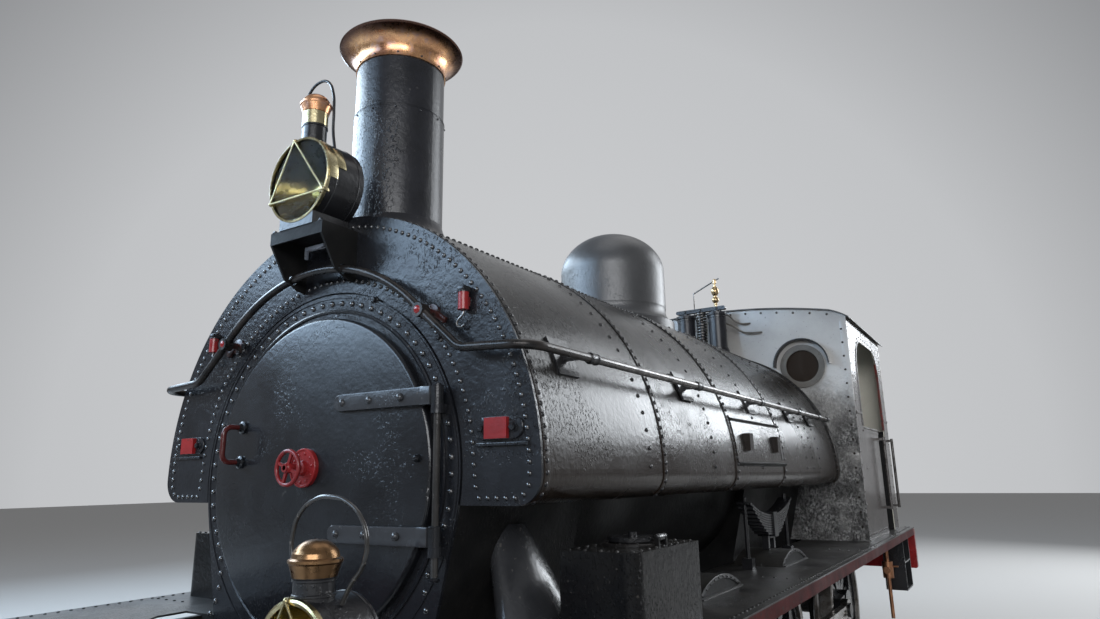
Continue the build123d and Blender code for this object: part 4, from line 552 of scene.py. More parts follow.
def add_strip(points, normals, across, width, thickness):
    """A flat bar with a chamfered top that follows points; its width lies along one direction.

    The normals are one direction for each point, or one for all of them."""
    if isinstance(normals[0], (int, float)):
        normals = [normals] * len(points)
    side = Vector(across).normalized() * (width / 2)
    rings = []
    for point, normal in zip(points, normals):
        out = Vector(normal).normalized()
        low = Vector(point) - out * 0.001
        high = Vector(point) + out * thickness
        middle = Vector(point) + out * (thickness * 0.7)
        narrow = side * 0.86
        section = (low - side, middle - side, high - narrow, high + narrow, middle + side, low + side)
        rings.append([bm.verts.new(corner) for corner in section])
    for first, second in zip(rings, rings[1:]):
        for index in range(6):
            after = (index + 1) % 6
            bm.faces.new((first[index], first[after], second[after], second[index]))
    bm.faces.new(rings[0])
    bm.faces.new(list(reversed(rings[-1])))


def rivets(name, spots, radius, mat, height=None):
    """A piece made of many rivets; spots are (place, normal) pairs."""
    for place, normal in spots:
        add_dome(place, normal, radius, height)
    add_mesh(name, mat)


def row(start, end, pitch, normal):
    """Rivet spots along a straight line."""
    return [(place, normal) for place in spaced((start, end), pitch)]


def facing(points, pitch, y):
    """Rivet spots along a line of (x, z) points in a plane that faces the front."""
    return [((x, y, z), to_front) for x, z in spaced(points, pitch)]


def tank_skin(y):
    """Radius of the tank's outside at a place along it."""
    rings = sum(1 for seam in tank_seams if y > seam)
    return tank_radius if rings % 2 == 0 else tank_radius - tank_lap


def tank_wrap(radius):
    """Points (x, z) of the tank's outside from the lower corner on the +X side over the top."""
    inset = tank_radius - radius
    corner = (tank_radius - tank_corner, tank_bottom + tank_corner)
    points = arc(corner, tank_corner - inset, -62, 0, 8)
    points += arc((0, boiler_z), radius, 0, 180, 120)
    return points + [(-x, z) for x, z in reversed(points[:9])]


def wrap_normal(point):
    """Outward direction of the tank's outside at an (x, z) point."""
    x, z = point
    if z >= boiler_z:
        return Vector((x, 0, z - boiler_z)).normalized()
    corner_x = copysign(tank_radius - tank_corner, x)
    if z < tank_bottom + tank_corner:
        return Vector((x - corner_x, 0, z - tank_bottom - tank_corner)).normalized()
    return Vector((copysign(1, x), 0, 0))


def wrap_row(y, lift=0):
    """Seam rivets across the tank at one place along it."""
    spots = []
    for x, z in spaced(tank_wrap(tank_skin(y)), seam_pitch):
        normal = wrap_normal((x, z))
        spots.append((Vector((x, y, z)) + normal * lift, normal))
    return spots


def add_band(y, radius, width, thickness):
    """A flat band across the tank at one place along it."""
    wrap = tank_wrap(radius)
    add_strip([(x, y, z) for x, z in wrap], [wrap_normal(point) for point in wrap], to_rear, width, thickness)


def on_tank(angle, side, y, lift=0):
    """A place on the tank and its outward direction, at an angle above the horizontal."""
    normal = (side * cos(radians(angle)), 0, sin(radians(angle)))
    radius = tank_skin(y) + lift
    return (radius * normal[0], y, boiler_z + radius * normal[2]), normal


def tank_line(angle, start_y, end_y, pitch, side, lift=0):
    """Rivets along the tank at one angle above the horizontal."""
    return [on_tank(angle, side, y, lift) for y, _ in spaced(((start_y, 0), (end_y, 0)), pitch)]


def roof_z(x):
    """Top of the cab's end sheets at a place across."""
    return 3.17 - 0.114 * (x / 1.1) ** 2


def end_row(y, normal):
    """Rivets across a cab end, under the roof."""
    across = [side * (0.075 + 0.1435 * index) for side in (1, -1) for index in range(1, 8)]
    return [((x, y, roof_z(x) - 0.034), normal) for x in across]


# Tank front plate: close rows along its outer and inner edges
outer_edge = [(0.8, 1.604)] + arc((0.944, 1.664), 0.06, -90, 0, 8) + arc((0, boiler_z), 1.004, 0, 89, 60)
inner_edge = [(0.786, 1.64)] + arc((0, boiler_z), 0.776, 2, 89, 60)
plate_spots = []
for edge, pitch in ((outer_edge, 0.0365), (inner_edge, 0.037)):
    for side in (1, -1):
        plate_spots += facing([(side * x, z) for x, z in edge], pitch, tank_front_y)
rivets("front_plate_rivets", plate_spots, 0.0098, rivet_black)

# Smokebox front: a row round the door and down both feet, and two lips round the door
foot = [(-0.625, 1.13), (-0.585, 1.2), (-0.572, 1.28), (-0.585, 1.36), (-0.62, 1.44)]
ring = foot + arc((0, boiler_z), 0.682, -14, 194, 120)[::-1] + [(-x, z) for x, z in reversed(foot)]
rivets("smokebox_front_rivets", facing(ring, 0.058, smokebox_face_y), 0.0122, rivet_black)
for lip in (((0.642, 0), (0.643, 0.006), (0.65, 0.009), (0.657, 0.006), (0.658, 0)),
            ((0.703, -0.001), (0.704, 0.0035), (0.712, 0.0035), (0.713, -0.001))):
    lathe(lip, (0, smokebox_face_y, boiler_z), 128, to_front)
add_mesh("smokebox_front_lips", front_black)

# Tank: straps over two seams, seam rivets, stay rivets and caulked lap edges
for y in (-1.7385, 0.1595):
    add_band(y, tank_radius, 0.04, 0.0045)
add_mesh("tank_seam_straps", tank_black)
seam_spots = wrap_row(tank_wrap_y + 0.018)
for y, lift in ((-1.739, 0.004), (-0.767, 0), (0.16, 0.004), (tank_rear_y - 0.045, 0)):
    seam_spots += wrap_row(y, lift)
for side in (1, -1):
    for start_y, end_y in ((-2.66, -0.6), (0.36, 1.78)):
        seam_spots += tank_line(61, start_y, end_y, seam_pitch, side)
rivets("tank_seam_rivets", seam_spots, 0.0102, black)
stays = [on_tank(0.6 + 4.06 * step, side, y) for y in (-1.882, -1.1, -0.31, 0.8, 0.99, 1.2)
         for step in range(21) for side in (-1, 1)]
rivets("tank_stay_rivets", stays, 0.0096, black)
for seam, inward in zip(tank_seams, (0.003, -0.003, 0.003)):
    add_band(seam + inward, tank_radius - tank_lap, 0.006, 0.005)
add_mesh("tank_seam_caulking", tank_black)

# Tank ends: the flange strip behind the front plate and the angle before the cab
add_band(tank_wrap_y + 0.02, tank_radius, 0.036, 0.0022)
add_band(tank_rear_y - 0.016, tank_radius - tank_lap, 0.03, 0.014)
add_mesh("tank_edge_strips", tank_black)

# Patch plate on the tank's sides: two beaded strips and a small bar
for side in (1, -1):
    for angle, width in ((14.9, 0.02), (1.6, 0.022)):
        (start, normal), (end, _) = [on_tank(angle, side, y, 0.0005) for y in (-0.762, 0.176)]
        add_strip((start, end), normal, (-normal[2], 0, normal[0] * side), width, 0.0075)
        for spot, direction in tank_line(angle, -0.75, 0.166, 0.0165, side, 0.0075):
            add_dome(spot, direction, 0.0075, 0.008, 6)
    places, normals = zip(*[on_tank(3 + 6.8 * step / 6, side, 0.112) for step in range(7)])
    add_strip(places, normals, to_rear, 0.034, 0.008)
add_mesh("tank_patch_strips", soot)

# Front plate fittings: oval plates with studs behind the red blocks, strips, extra bolts, and a clip painted
# pale blue grey as the light on it
for side in (1, -1):
    for x in (0.8145, 0.9465):
        lathe(((0.0375, -0.001), (0.0375, 0.006), (0.035, 0.008), (0, 0.008)),
              (side * x, tank_front_y, red_block_z), 24, to_front)
        add_bolt((side * x, tank_front_y - 0.008, red_block_z), to_front, 0.0125, 0.012)
    add_block((side * 0.8805, tank_front_y - 0.004, red_block_z), (0.132, 0.008, 0.075), 0.001)
    add_block((side * 0.9, tank_front_y - 0.006, 1.7785), (0.212, 0.012, 0.011), 0.002)
    for x, z in ((0.536, 2.262), (0.572, 2.236)):
        add_bolt((side * x, tank_front_y, z), to_front, 0.014)
for x, z in ((0.272, 2.36), (0.612, 2.172)):
    add_bolt((x, tank_front_y, z), to_front, 0.013)
for x in (-0.14, 0.14):
    add_bolt((x, tank_front_y - 0.176, 2.666), to_top, 0.009)
add_mesh("front_plate_fittings", front_black)
# The clip's pale colour is a painted highlight of the light falling on it
add_block((-0.085, tank_front_y - 0.012, 2.64), (0.118, 0.022, 0.018), 0.004)
add_block((-0.147, tank_front_y - 0.01, 2.622), (0.014, 0.018, 0.05), 0.004)
add_mesh("bracket_clip_painted_light", clip_painted_light)

# Pegs: dark cap above, wire hook below
for side in (1, -1):
    add_block((side * peg_x, tank_front_y - 0.022, 2.327), (0.032, 0.042, 0.024), 0.005)
    lathe(((0.0215, 0), (0.0215, 0.006), (0.012, 0.012), (0, 0.012)),
          (side * peg_x, tank_front_y - 0.024, 2.315), 20)
add_mesh("peg_caps", front_black)
for side, name in ((1, "left"), (-1, "right")):
    hook = ((0, -2.724, 2.256), (0, -2.727, 2.236), (-0.018, -2.727, 2.221), (-0.03, -2.725, 2.205),
            (-0.018, -2.722, 2.192), (0, -2.718, 2.2))
    tube(f"peg_hook_{name}", [(side * (peg_x + x), y, z) for x, y, z in hook], 0.0042, wire_steel)

# Handrail joints: red balls with dark flange stubs where the rail turns down, sleeves along the sides
ball = [(0.026 * sin(radians(angle)), -0.026 * cos(radians(angle))) for angle in range(0, 181, 15)]
for side in (1, -1):
    lathe(ball, (side * rail_joint[0], -2.77, rail_joint[1]), 24, to_front)
add_mesh("handrail_balls", red)
for side in (1, -1):
    lathe(((0.034, -0.001), (0.034, 0.01), (0.016, 0.014), (0.013, 0.05)),
          (side * rail_joint[0], tank_front_y, rail_joint[1]), 24, to_front)
    add_block((side * 0.622, tank_front_y - 0.008, 2.244), (0.062, 0.018, 0.024), 0.006,
              Matrix.Rotation(side * 0.6, 4, "Y"))
add_mesh("handrail_ball_stubs", dark_red)
sleeve = [(0.0155, -0.03), (0.0215, -0.027), (0.0225, -0.02), (0.0205, -0.016)]
sleeve += [(radius, -height) for radius, height in reversed(sleeve)]
for side in (1, -1):
    for y in (-2.352, -1.3, -0.262, 0.612, 1.232, 1.53):
        lathe(sleeve, (side * 1.052, y, 2.092), 20, to_rear)
add_mesh("handrail_sleeves", black)

# Smokebox door: strap bolts and ends, knob, handle feet, boss with its studs, hinge rods and collars
strap_face = door_crown_y - 0.007
for z in strap_zs:
    for x, lift in ((0.196, 0), (0.336, 0.0027), (0.492, 0)):
        add_dome((x, strap_face + lift - 0.0008, z), to_front, 0.0155, 0.012, 12)
    lathe(((0.031, -0.004), (0.031, 0.004), (0.028, 0.0065), (0, 0.0065)),
          (0.176, strap_face + 0.006, z), 24, to_front)
    add_block((0.604, -2.757, z), (0.05, 0.022, 0.066), 0.004)
    run = ((0.176, strap_face, z), (0.42, strap_face + 0.004, z), (0.625, hinge_y - 0.0215, z))
    add_strip(run, to_front, to_top, 0.062, 0.0028)
add_mesh("door_strap_fittings", strap_black, door_body)
add_dome((0.561, door_face_y - 0.006, 1.74), to_front, 0.015, 0.02, 12)
for z in (1.748, 1.892):
    lathe(((0.026, -0.002), (0.026, 0.004), (0.018, 0.008), (0.015, 0.02), (0, 0.02)),
          (handle_x, -2.758, z), 20, to_front)
add_mesh("door_knob_and_feet", door_black, door_body)
boss_y = door_crown_y - 0.0003
lathe(((0.0745, 0.001), (0.0745, 0.016), (0.0725, 0.0185), (0.067, 0.0185), (0.065, 0.0148), (0.03, 0.0148),
       (0.026, 0.03), (0.018, 0.034)), (0, boss_y, handwheel_z), 48, to_front)
for x, z in circle(10, 0.054, 8, (0, handwheel_z)):
    add_dome((x, boss_y - 0.0145, z), to_front, 0.0065, 0.005, 8)
lathe(((0, -0.016), (0.02, -0.014), (0.022, 0), (0.018, 0.01), (0.009, 0.016), (0, 0.016)),
      (0, -2.8496, handwheel_z), 24, to_front)
add_mesh("door_boss_details", red, door_body)
for low, high in ((1.343, 1.445), (1.511, 1.922)):
    lathe(((0, low), (0.0126, low), (0.0126, high), (0, high)), (hinge_x, hinge_y, 0), 20)
add_mesh("door_hinge_rod", rod_black)
for z in strap_zs:
    for top in (1, -1):
        lathe(((0.0125, 0), (0.0235, 0), (0.0235, 0.003 * top), (0.021, 0.005 * top), (0.0125, 0.005 * top)),
              (hinge_x, hinge_y, z + top * 0.031), 24)
lathe(((0, 1.336), (0.017, 1.336), (0.019, 1.34), (0.019, 1.347), (0.013, 1.35)),
      (hinge_x, hinge_y, 0), 20)
add_mesh("door_hinge_collars", front_black, door_body)

# Headlamps: front ring, reflector, burner, bulb and seams of the drum
# Each row: name, x, y of the face, z, radius, depth of the bowl, width of the ring, radius of the bulb
lamps = (
    ("upper", 0, -2.89, 2.87, 0.182, 0.118, 0.009, 0.026),
    ("lower", 0.838, -3.455, 1.27, 0.125, 0.105, 0.013, 0.018),
)
for name, x, face_y, z, outer, depth, wide, bulb in lamps:
    back = -0.013 - depth
    bowl = [((outer - 0.0075) * sqrt(step / 10), back + depth * step / 10 * 0.96) for step in range(1, 11)]
    for piece, mat, slot, sides, profile in (
            ("ring", pale_brass, "brass", 64, (
                (outer - wide, -0.006), (outer - wide, 0.002), (outer - wide * 0.4, 0.0045),
                (outer + 0.0005, 0.002), (outer + 0.0005, -0.012))),
            ("reflector", reflector_painted_reflection, "brass", 48, [(0.018, bowl[0][1] - 0.004)] + bowl),
            ("burner", brass, "brass", 24, (
                (0.018, back), (0.018, back + 0.02), (0.014, back + 0.024), (0, back + 0.024))),
            ("bulb", glass, "glass", 24, (
                (0.011, back + 0.022), (bulb, back + 0.044), (bulb * 1.05, back + 0.06),
                (bulb * 0.75, back + 0.08), (0, back + 0.088)))):
        lathe(profile, (x, face_y, z), sides, to_front)
        add_mesh(f"{name}_lamp_{piece}", mat)
    seam = ((outer - 0.001, -0.003), (outer + 0.0005, -0.003), (outer + 0.0022, 0), (outer + 0.0005, 0.003),
            (outer - 0.001, 0.003))
    for back_by in (0.045, 0.16):
        lathe(seam, (x, face_y + back_by, z), 64, to_front)
    add_mesh(f"{name}_lamp_seams", black)

# Guards of the lamps: three wires between three joints on the front ring
for name, x, face_y, z, outer, *_ in lamps:
    joints = []
    for angle in (100.5, 204.6, 334):
        joint_x, joint_z = arc((x, z), outer - 0.002, angle, angle, 1)[0]
        joints.append((joint_x, face_y - 0.0075, joint_z))
        add_dome((joint_x, face_y - 0.0045, joint_z), to_front, 0.0085, 0.008, 12)
        add_block((joint_x, face_y + 0.0065, joint_z), (0.016, 0.026, 0.016), 0.003)
    add_mesh(f"{name}_lamp_guard_joints", pale_brass)
    for index in range(3):
        ends = (joints[index], joints[(index + 1) % 3])
        tube(f"{name}_lamp_guard_{index + 1}", ends, 0.0034, pale_brass, smooth=False)

# Lamps: brass side strap and band of the upper one, beads of the stacks, handles and cap rings
for low, high, start_y, end_y, lift in ((-8, 52, -2.886, -2.842, 0.0022), (8, 40, -2.842, -2.8, 0.004)):
    points = arc((0, 2.87), 0.182, low, high, 16)
    add_strip([(x, (start_y + end_y) / 2, z) for x, z in points], [(x, 0, z - 2.87) for x, z in points],
              to_rear, end_y - start_y, lift)
add_bead((*upper_stack, 3.1595), (0.0505, 0.0305), (0.0525, 0.0285), 32)
add_mesh("upper_lamp_brass_bands", pale_brass)
for z in (3.055, 3.125):
    add_bead((*upper_stack, z), (0.0495, 0.005), (0.0535, 0.003), 32)
for z in (1.3995, 1.4345):
    add_bead((*lower_stack, z), (0.0495, 0.0045), (0.0535, 0.0025), 32)
add_mesh("lamp_stack_beads", black)
handle = ((0.098, 3.02), (0.083, 3.1), (0.08, 3.19), (0.07, 3.28), (0.035, 3.345), (-0.021, 3.362),
          (-0.08, 3.335), (-0.108, 3.27), (-0.116, 3.17), (-0.11, 3.08), (-0.1, 3.02))
tube("upper_lamp_handle", [(x, -2.797, z) for x, z in handle], 0.0062, black, sides=4)
handle = ((0.768, 1.372), (0.742, 1.418), (0.716, 1.475), (0.712, 1.535), (0.738, 1.59), (0.79, 1.622),
          (0.848, 1.629), (0.91, 1.616), (0.962, 1.578), (0.984, 1.527), (0.974, 1.47), (0.936, 1.425),
          (0.908, 1.378))
tube("lower_lamp_handle", [(x, -3.37, z) for x, z in handle], 0.0058, rod_black, sides=4)
for place in ((*upper_stack, 3.228), (*lower_stack, 1.479)):
    add_bead(place, (0.0625, 0.004), (0.0665, 0.0025), 40)
add_mesh("lamp_cap_rings", lamp_copper)

# Chimney: joint line, and screws under the copper cap and at the joint
for z, radius in ((3.356, 0.2152), (3.35, 0.2146)):
    add_bead((0, chimney_y, z), (radius - 0.002, 0.002), (radius + 0.0012, 0.001), 96)
for x, y in circle(12, 0.2165, 10):
    for z in (3.62, 3.338):
        add_dome((x, chimney_y + y, z), (x, y, 0), 0.0055, 0.004, 8)
add_mesh("chimney_details", chimney_black)

# Sandboxes: neck rings with screws, and rivets along the top
box_spots = []
for side in (1, -1):
    lathe(((0.094, 1.4225), (0.112, 1.4225), (0.112, 1.43), (0.108, 1.433), (0.094, 1.433)),
          (side * sandbox_x, sandbox_y, 0), 40)
    for x, y in circle(10, 0.103, 18, (side * sandbox_x, sandbox_y)):
        add_dome((x, y, 1.432), to_top, 0.006, 0.005, 8)
    loop = ((0.972, -2.416), (1.214, -2.416), (1.214, -1.914), (0.972, -1.914), (0.972, -2.416))
    box_spots += [(place, to_top) for place in spaced([(side * x, y, 1.422) for x, y in loop], 0.062)]
add_mesh("sandbox_neck_rings", plate_black)
rivets("sandbox_top_rivets", box_spots, 0.0075, plate_black, height=0.0055)

# Safety valves: spring coils, column beads, cover bolts and lever pins
coils = [(0.041 * cos(pi * step / 6), valve_y + 0.041 * sin(pi * step / 6), 2.795 + 0.0265 * step / 12)
         for step in range(13 * 12 + 1)]
tube("safety_valve_spring", coils, 0.0072, wire_steel, sides=2)
for side in (1, -1):
    for z, radius in ((2.785, 0.088), (3.085, 0.084)):
        add_bead((side * valve_x, valve_y, z), (radius - 0.008, 0.01), (radius, 0.006), 40)
    for x, y in circle(6, 0.072, 20, (side * valve_x, valve_y)):
        add_bolt((x, y, 3.125), to_top, 0.009, 0.008, washer=False)
for x in (-valve_x, 0, valve_x):
    add_bolt((x, 1.633, 3.168), to_front, 0.01, 0.008)
add_mesh("safety_valve_details", black)

# Dark strips on the driving springs, painted as the shade in the gaps between their leaves
for side in (1, -1):
    for index in range(1, 9):
        half = 0.46 * (1 - 0.085 * index)
        base_z = 1.29 + (9 - index) * 0.014
        for end in (-1, 1):
            run = [0.042 + (half - 0.042) * step / 8 for step in range(9)]
            add_strip([(side * 0.945, axles["driving"] + end * y, base_z + 0.42 * y * y) for y in run],
                      (side, 0, 0), to_top, 0.0055, 0.0008)
add_mesh("spring_leaf_gaps_painted_shade", soot)

# Whistle lever, its pull rod and the two small pipes to the cab
tube("whistle_lever", ((-0.115, 1.79, 3.372), (0.02, 1.79, 3.434), (0.148, 1.79, 3.49)), 0.0065, wire_steel,
     smooth=False)
tube("whistle_pull_rod", ((-0.11, 1.79, 3.376), (-0.11, 1.79, 3.14), (-0.11, 1.842, 3.1)), 0.0055,
     wire_steel, smooth=False)
tube("cab_pipe_upper", ((0.205, 1.7, 3.11), (0.235, 1.75, 3.105), (0.275, 1.78, 3.058), (0.33, 1.8, 3.028),
                        (0.375, 1.825, 3.026), (0.4, 1.845, 3.03)), 0.0085, ring_grey)
tube("cab_pipe_lower", ((0.215, 1.7, 3.03), (0.27, 1.76, 2.998), (0.33, 1.79, 2.952), (0.4, 1.8, 2.934),
                        (0.48, 1.822, 2.932), (0.5, 1.845, 2.934)), 0.0085, ring_grey)
for z, radius in ((3.238, 0.02), (3.312, 0.018), (3.412, 0.018)):
    add_bead((0.108, 1.778, z), (0.01, 0.005), (radius, 0.003), 24)
add_mesh("whistle_beads", brass)

# Cab front: rivets along the top and the outer edges, and corner angles
cab_spots = end_row(cab_front_y, to_front) + [((0, cab_front_y, roof_z(0) - 0.034), to_front)]
for side in (1, -1):
    cab_spots += [((side * 1.185, cab_front_y, 1.235 + 0.1175 * step), to_front) for step in range(15)]
rivets("cab_front_rivets", cab_spots, 0.0112, side_grey)
for side in (1, -1):
    add_strip([(side * 1.2025, cab_front_y, z) for z in (1.125, 2.95)], to_front, (1, 0, 0), 0.056, 0.003)
add_mesh("cab_corner_angles", by_node["cab_front"])

# Hoods over the front windows: dark strips inside them and along their front edges, painted as the shade
# under the hoods
for side in (1, -1):
    centre = (side * window_x, window_z)
    points = arc(centre, 0.2275, 0, 180, 24)
    add_strip([(x, 1.808, z) for x, z in points], [(centre[0] - x, 0, centre[1] - z) for x, z in points],
              to_rear, 0.068, 0.0015)
    edge = arc(centre, 0.234, 0, 180, 24)
    for (x, z), (next_x, next_z) in zip(edge, edge[1:]):
        inward = (centre[0] - (x + next_x) / 2, 0, centre[1] - (z + next_z) / 2)
        add_strip(((x, 1.774, z), (next_x, 1.774, next_z)), to_front, inward, 0.013, 0.002)
add_mesh("window_hood_painted_shade", hood_painted_shade)

# Window rims on the cab ends: screws
for side in (1, -1):
    for y, normal in ((1.828, to_front), (3.556, to_rear)):
        for x, z in circle(8, 0.171, 22.5, (side * window_x, window_z)):
            add_dome((x, y, z), normal, 0.0058, 0.0042, 8)
add_mesh("window_rim_screws", ring_grey)


def arches(margin):
    """Arched top (y, z) of a cab side's opening, widened by a margin."""
    return arc((2.4, 2.555), 0.29 + margin, 180, 90, 12) + arc((2.99, 2.555), 0.29 + margin, 90, 0, 12)


# Cab sides: rivets round the opening and along the edges, beads, red rear edge of the opening
side_spots = []
outline = [(2.075, 2.1), (2.075, 2.6)] + arches(0.035) + [(3.315, 2.6), (3.315, 2.1)]
for side in (1, -1):
    x = side * cab_half
    out = (side, 0, 0)
    side_spots += [(place, out) for place in spaced([(x, y, z) for y, z in outline], 0.105)]
    side_spots += row((x, 2.165, 2.045), (x, 2.925, 2.045), 0.044, out)
    side_spots += row((x, 1.89, 1.17), (x, 2.85, 1.17), 0.06, out)
    for y in (1.878, 3.505):
        side_spots += row((x, y, 1.2), (x, y, 2.9), 0.105, out)
    side_spots += [((x, y, z), out) for y, z in ((2.562, 1.756), (2.1, 1.7), (2.562, 1.45))]
rivets("cab_side_rivets", side_spots, 0.0072, side_grey, 0.005)
outline = [(2.11, 2.062), (2.11, 2.555)] + arches(0) + [(3.28, 2.062)]
for side in (1, -1):
    x = side * cab_half
    out = Vector((side, 0, 0))
    for (y, z), (next_y, next_z) in zip(outline, outline[1:]):
        across = out.cross(Vector((0, next_y - y, next_z - z)))
        add_strip(((x, y, z), (x, next_y, next_z)), out, across, 0.016, 0.006)
    for z, low_y, high_y, width, thickness in (
            (2.021, 2.1, 2.87, 0.014, 0.005), (1.126, 1.87, 2.87, 0.014, 0.005),
            (2.168, 1.862, 2.1, 0.02, 0.008), (2.168, 3.29, 3.52, 0.02, 0.008)):
        add_strip(((x, low_y, z), (x, high_y, z)), out, to_top, width, thickness)
add_mesh("cab_side_beads", side_grey)
for side in (1, -1):
    x = side * 1.226
    add_strip(((x, 3.28, 2.075), (x, 3.28, 2.56)), to_front, (1, 0, 0), 0.022, 0.012)
    points = arc((2.99, 2.555), 0.29, 0, 38, 8)
    add_strip([(x, y, z) for y, z in points], [(0, 2.99 - y, 2.555 - z) for y, z in points], (1, 0, 0), 0.022,
              0.012)
add_mesh("cab_opening_red_edges", rust_red)

# Cab roof: rows of rivets
roof_spots = [((0.082 * step, y, roof_z(0.082 * step) + 0.008), (2 * 0.114 * 0.082 * step / 1.21, 0, 1))
              for y in (1.87, 2.48, 3.1, 3.62) for step in range(-13, 14)]
rivets("cab_roof_rivets", roof_spots, 0.009, roof_grey, height=0.005)

# Cab rear: rivets along its edges and along the bunker
rear_places = [(side * 1.19, 1.19 + 0.1175 * step) for side in (1, -1) for step in range(16)]
rear_places += [(0.064 * step, z) for z in (1.16, 2.06) for step in range(-18, 19)]
rear_places += [(x, 1.24 + 0.12 * step) for x in (-0.4, 0.4) for step in range(7)]
rear_spots = end_row(cab_rear_y, to_rear) + [((x, cab_rear_y, z), to_rear) for x, z in rear_places]
rivets("cab_rear_rivets", rear_spots, 0.0098, side_grey)

# Running plate: rivets along the outer edges and across the joints
plate_spots = []
for side in (1, -1):
    plate_spots += row((side * 1.306, -3.66, plate_top), (side * 1.306, 3.66, plate_top), 0.052, to_top)
    for y in (-3.655, 3.655):
        plate_spots += row((0.04 * side, y, plate_top), (side * 1.27, y, plate_top), 0.062, to_top)
    for y in (-2.56, -0.56, 1.1):
        plate_spots += row((side * 1.068, y, plate_top), (side * 1.27, y, plate_top), 0.06, to_top)
rivets("running_plate_rivets", plate_spots, 0.0078, plate_black, height=0.0055)

# Splashers: rim angles with rivets
for axle_y in (axles["leading"], axles["driving"]):
    for side in (1, -1):
        points = [(side * splasher_x, y, z) for y, z in arc((axle_y, axle_z), 0.614, 63.5, 116.5, 24)]
        add_strip(points, (side, 0, 0), to_top, 0.02, 0.005)
        add_strip([(side * 1.0505, axle_y + end * 0.27, 1.1235) for end in (-1, 1)], to_top, (1, 0, 0), 0.04,
                  0.005)
        for place in spaced([(side * 1.0555, y, z - 0.002) for _, y, z in points[1:-1]], 0.055):
            add_dome(place, (side, 0, 0), 0.0055, 0.004, 6)
add_mesh("splasher_rims", plate_black)

# Buffer beams: rivets and bolts round the buffers and the drawhooks
beam_spots = []
beam_bolts = []
for end in (-1, 1):
    y = end * beam_y
    out = (0, end, 0)
    for z in (0.775, 1.08):
        beam_spots += [spot for spot in row((-1.28, y, z), (1.28, y, z), 0.107, out)
                       if abs(abs(spot[0][0]) - buffer_x) >= 0.175]
    for side in (1, -1):
        beam_bolts += [((side * buffer_x + dx, end * 3.724, buffer_z + dz), out, 0.019)
                       for dx in (-0.135, 0.135) for dz in (-0.135, 0.135)]
        beam_bolts += [((side * 0.075, y, z), out, 0.016) for z in (1.035, 0.885)]
rivets("beam_rivets", beam_spots, 0.0125, red)
for bolt in beam_bolts:
    add_bolt(*bolt)
add_mesh("beam_bolts", black)

# Frames: rows along the top edge and beside the horns
frame_spots = []
for side in (1, -1):
    x = side * frame_x
    out = (side, 0, 0)
    frame_spots += row((x, -3.5, 1.075), (x, 3.5, 1.075), 0.115, out)
    for axle_y in axles.values():
        for dy in (-0.19, 0.19):
            frame_spots += [((x, axle_y + dy, 0.52 + 0.11 * step), out) for step in range(5)]
rivets("frame_rivets", frame_spots, 0.0115, grease)

# Wheels: rivets through the rims
for name, axle_y in axles.items():
    for side in (1, -1):
        for y, z in circle(11, 0.468, 180 / 11, (axle_y, axle_z)):
            add_dome((side * 0.916, y, z), (side, 0, 0), 0.0105, 0.006, 8)
    add_mesh(f"{name}_rim_rivets", black, f"wheelset_{name}")

# Backhead: a ring of rivets above the cab floor
for x, z in circle(24, 0.64, 0, (0, boiler_z)):
    if z > 1.2:
        add_dome((x, 2.01, z), to_rear, 0.012, 0.009, 8)
add_mesh("backhead_rivets", black)

# Camera, light and floor
camera_data = bpy.data.cameras.new("camera")
camera_data.lens = 717.8 / 1100 * 36
camera_data.sensor_width = 36
camera_data.clip_start = 0.05
camera = link("camera", camera_data)
camera.matrix_world = (
    Matrix.Translation((2.329, -4.653, 1.67)) @ Matrix.Rotation(radians(32.41), 4, "Z")
    @ Matrix.Rotation(radians(90 + 13.12), 4, "X") @ Matrix.Rotation(radians(-0.86), 4, "Z"))
bpy.context.scene.camera = camera


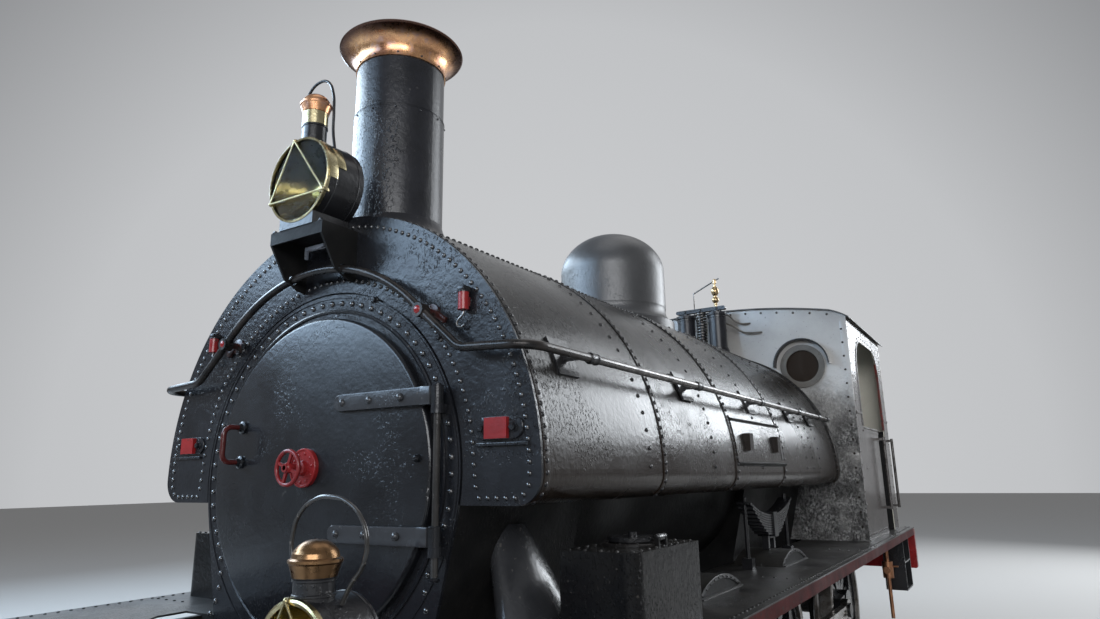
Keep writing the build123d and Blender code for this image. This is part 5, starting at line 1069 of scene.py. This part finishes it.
def area_light(name, place, aim, size, strength, colour=(1, 1, 1)):
    """A rectangular lamp; its strength is the brightness of its face."""
    data = bpy.data.lights.new(name, "AREA")
    data.energy = strength * pi * size[0] * size[1]
    data.color = colour
    data.shape = "RECTANGLE"
    data.size = size[0]
    data.size_y = size[1]
    obj = link(name, data)
    obj.location = place
    obj.rotation_euler = (Vector(aim) - Vector(place)).to_track_quat("-Z", "Y").to_euler()
    obj.visible_camera = False


area_light("windows_front_left", (-7.5, -10.5, 7.2), (0, -2.7, 2.2), (11, 3.7), 8, (0.53, 0.74, 1))
area_light("windows_left", (-9.5, -2, 7.9), (0, -1.5, 3.2), (13, 2.9), 10, (0.66, 0.83, 1))
area_light("bright_end", (6.8, 12.5, 6.2), (1, 0, 2), (7.5, 4.4), 9, (0.9, 0.95, 1))
area_light("high_end", (6.5, 10.5, 10), (0, -2, 3), (8, 3.4), 3.6, (0.92, 0.96, 1))
area_light("windows_behind", (7, -12.5, 5.6), (0, -1, 2.4), (10, 4.6), 6.6, (0.95, 0.97, 1))
area_light("roof_light", (0.5, 1, 11), (0.5, 0.5, 2), (5, 12), 0.7)

world = bpy.data.worlds.new("studio")
world.use_nodes = True
sky = Nodes(world.node_tree)
toward = sky.add("VectorMath", "Value", ((0, sky.add("TexCoord", "Generated")), (1, (-0.54, 0.84, 0))),
                 operation="DOT_PRODUCT")
background = world.node_tree.nodes["Background"]
sky.feed(background, "Color", sky.ramp(toward, (0, (0.25, 0.255, 0.265)), (0.62, (0.24, 0.245, 0.255)),
                                       (0.82, (0.53, 0.54, 0.555)), (1, (0.6, 0.61, 0.625))))
sky.feed(background, "Strength", 1)
bpy.context.scene.world = world
bpy.context.scene.view_settings.view_transform = "Standard"

floor_mesh = bpy.data.meshes.new("floor")
floor_mesh.from_pydata([(-60, -60, 0), (60, -60, 0), (60, 60, 0), (-60, 60, 0)], [], [(0, 1, 2, 3)])
floor_mesh.materials.append(Coat("floor_pale").done({"Base Color": (0.5, 0.49, 0.475), "Roughness": 0.85}))
floor = link("floor", floor_mesh)
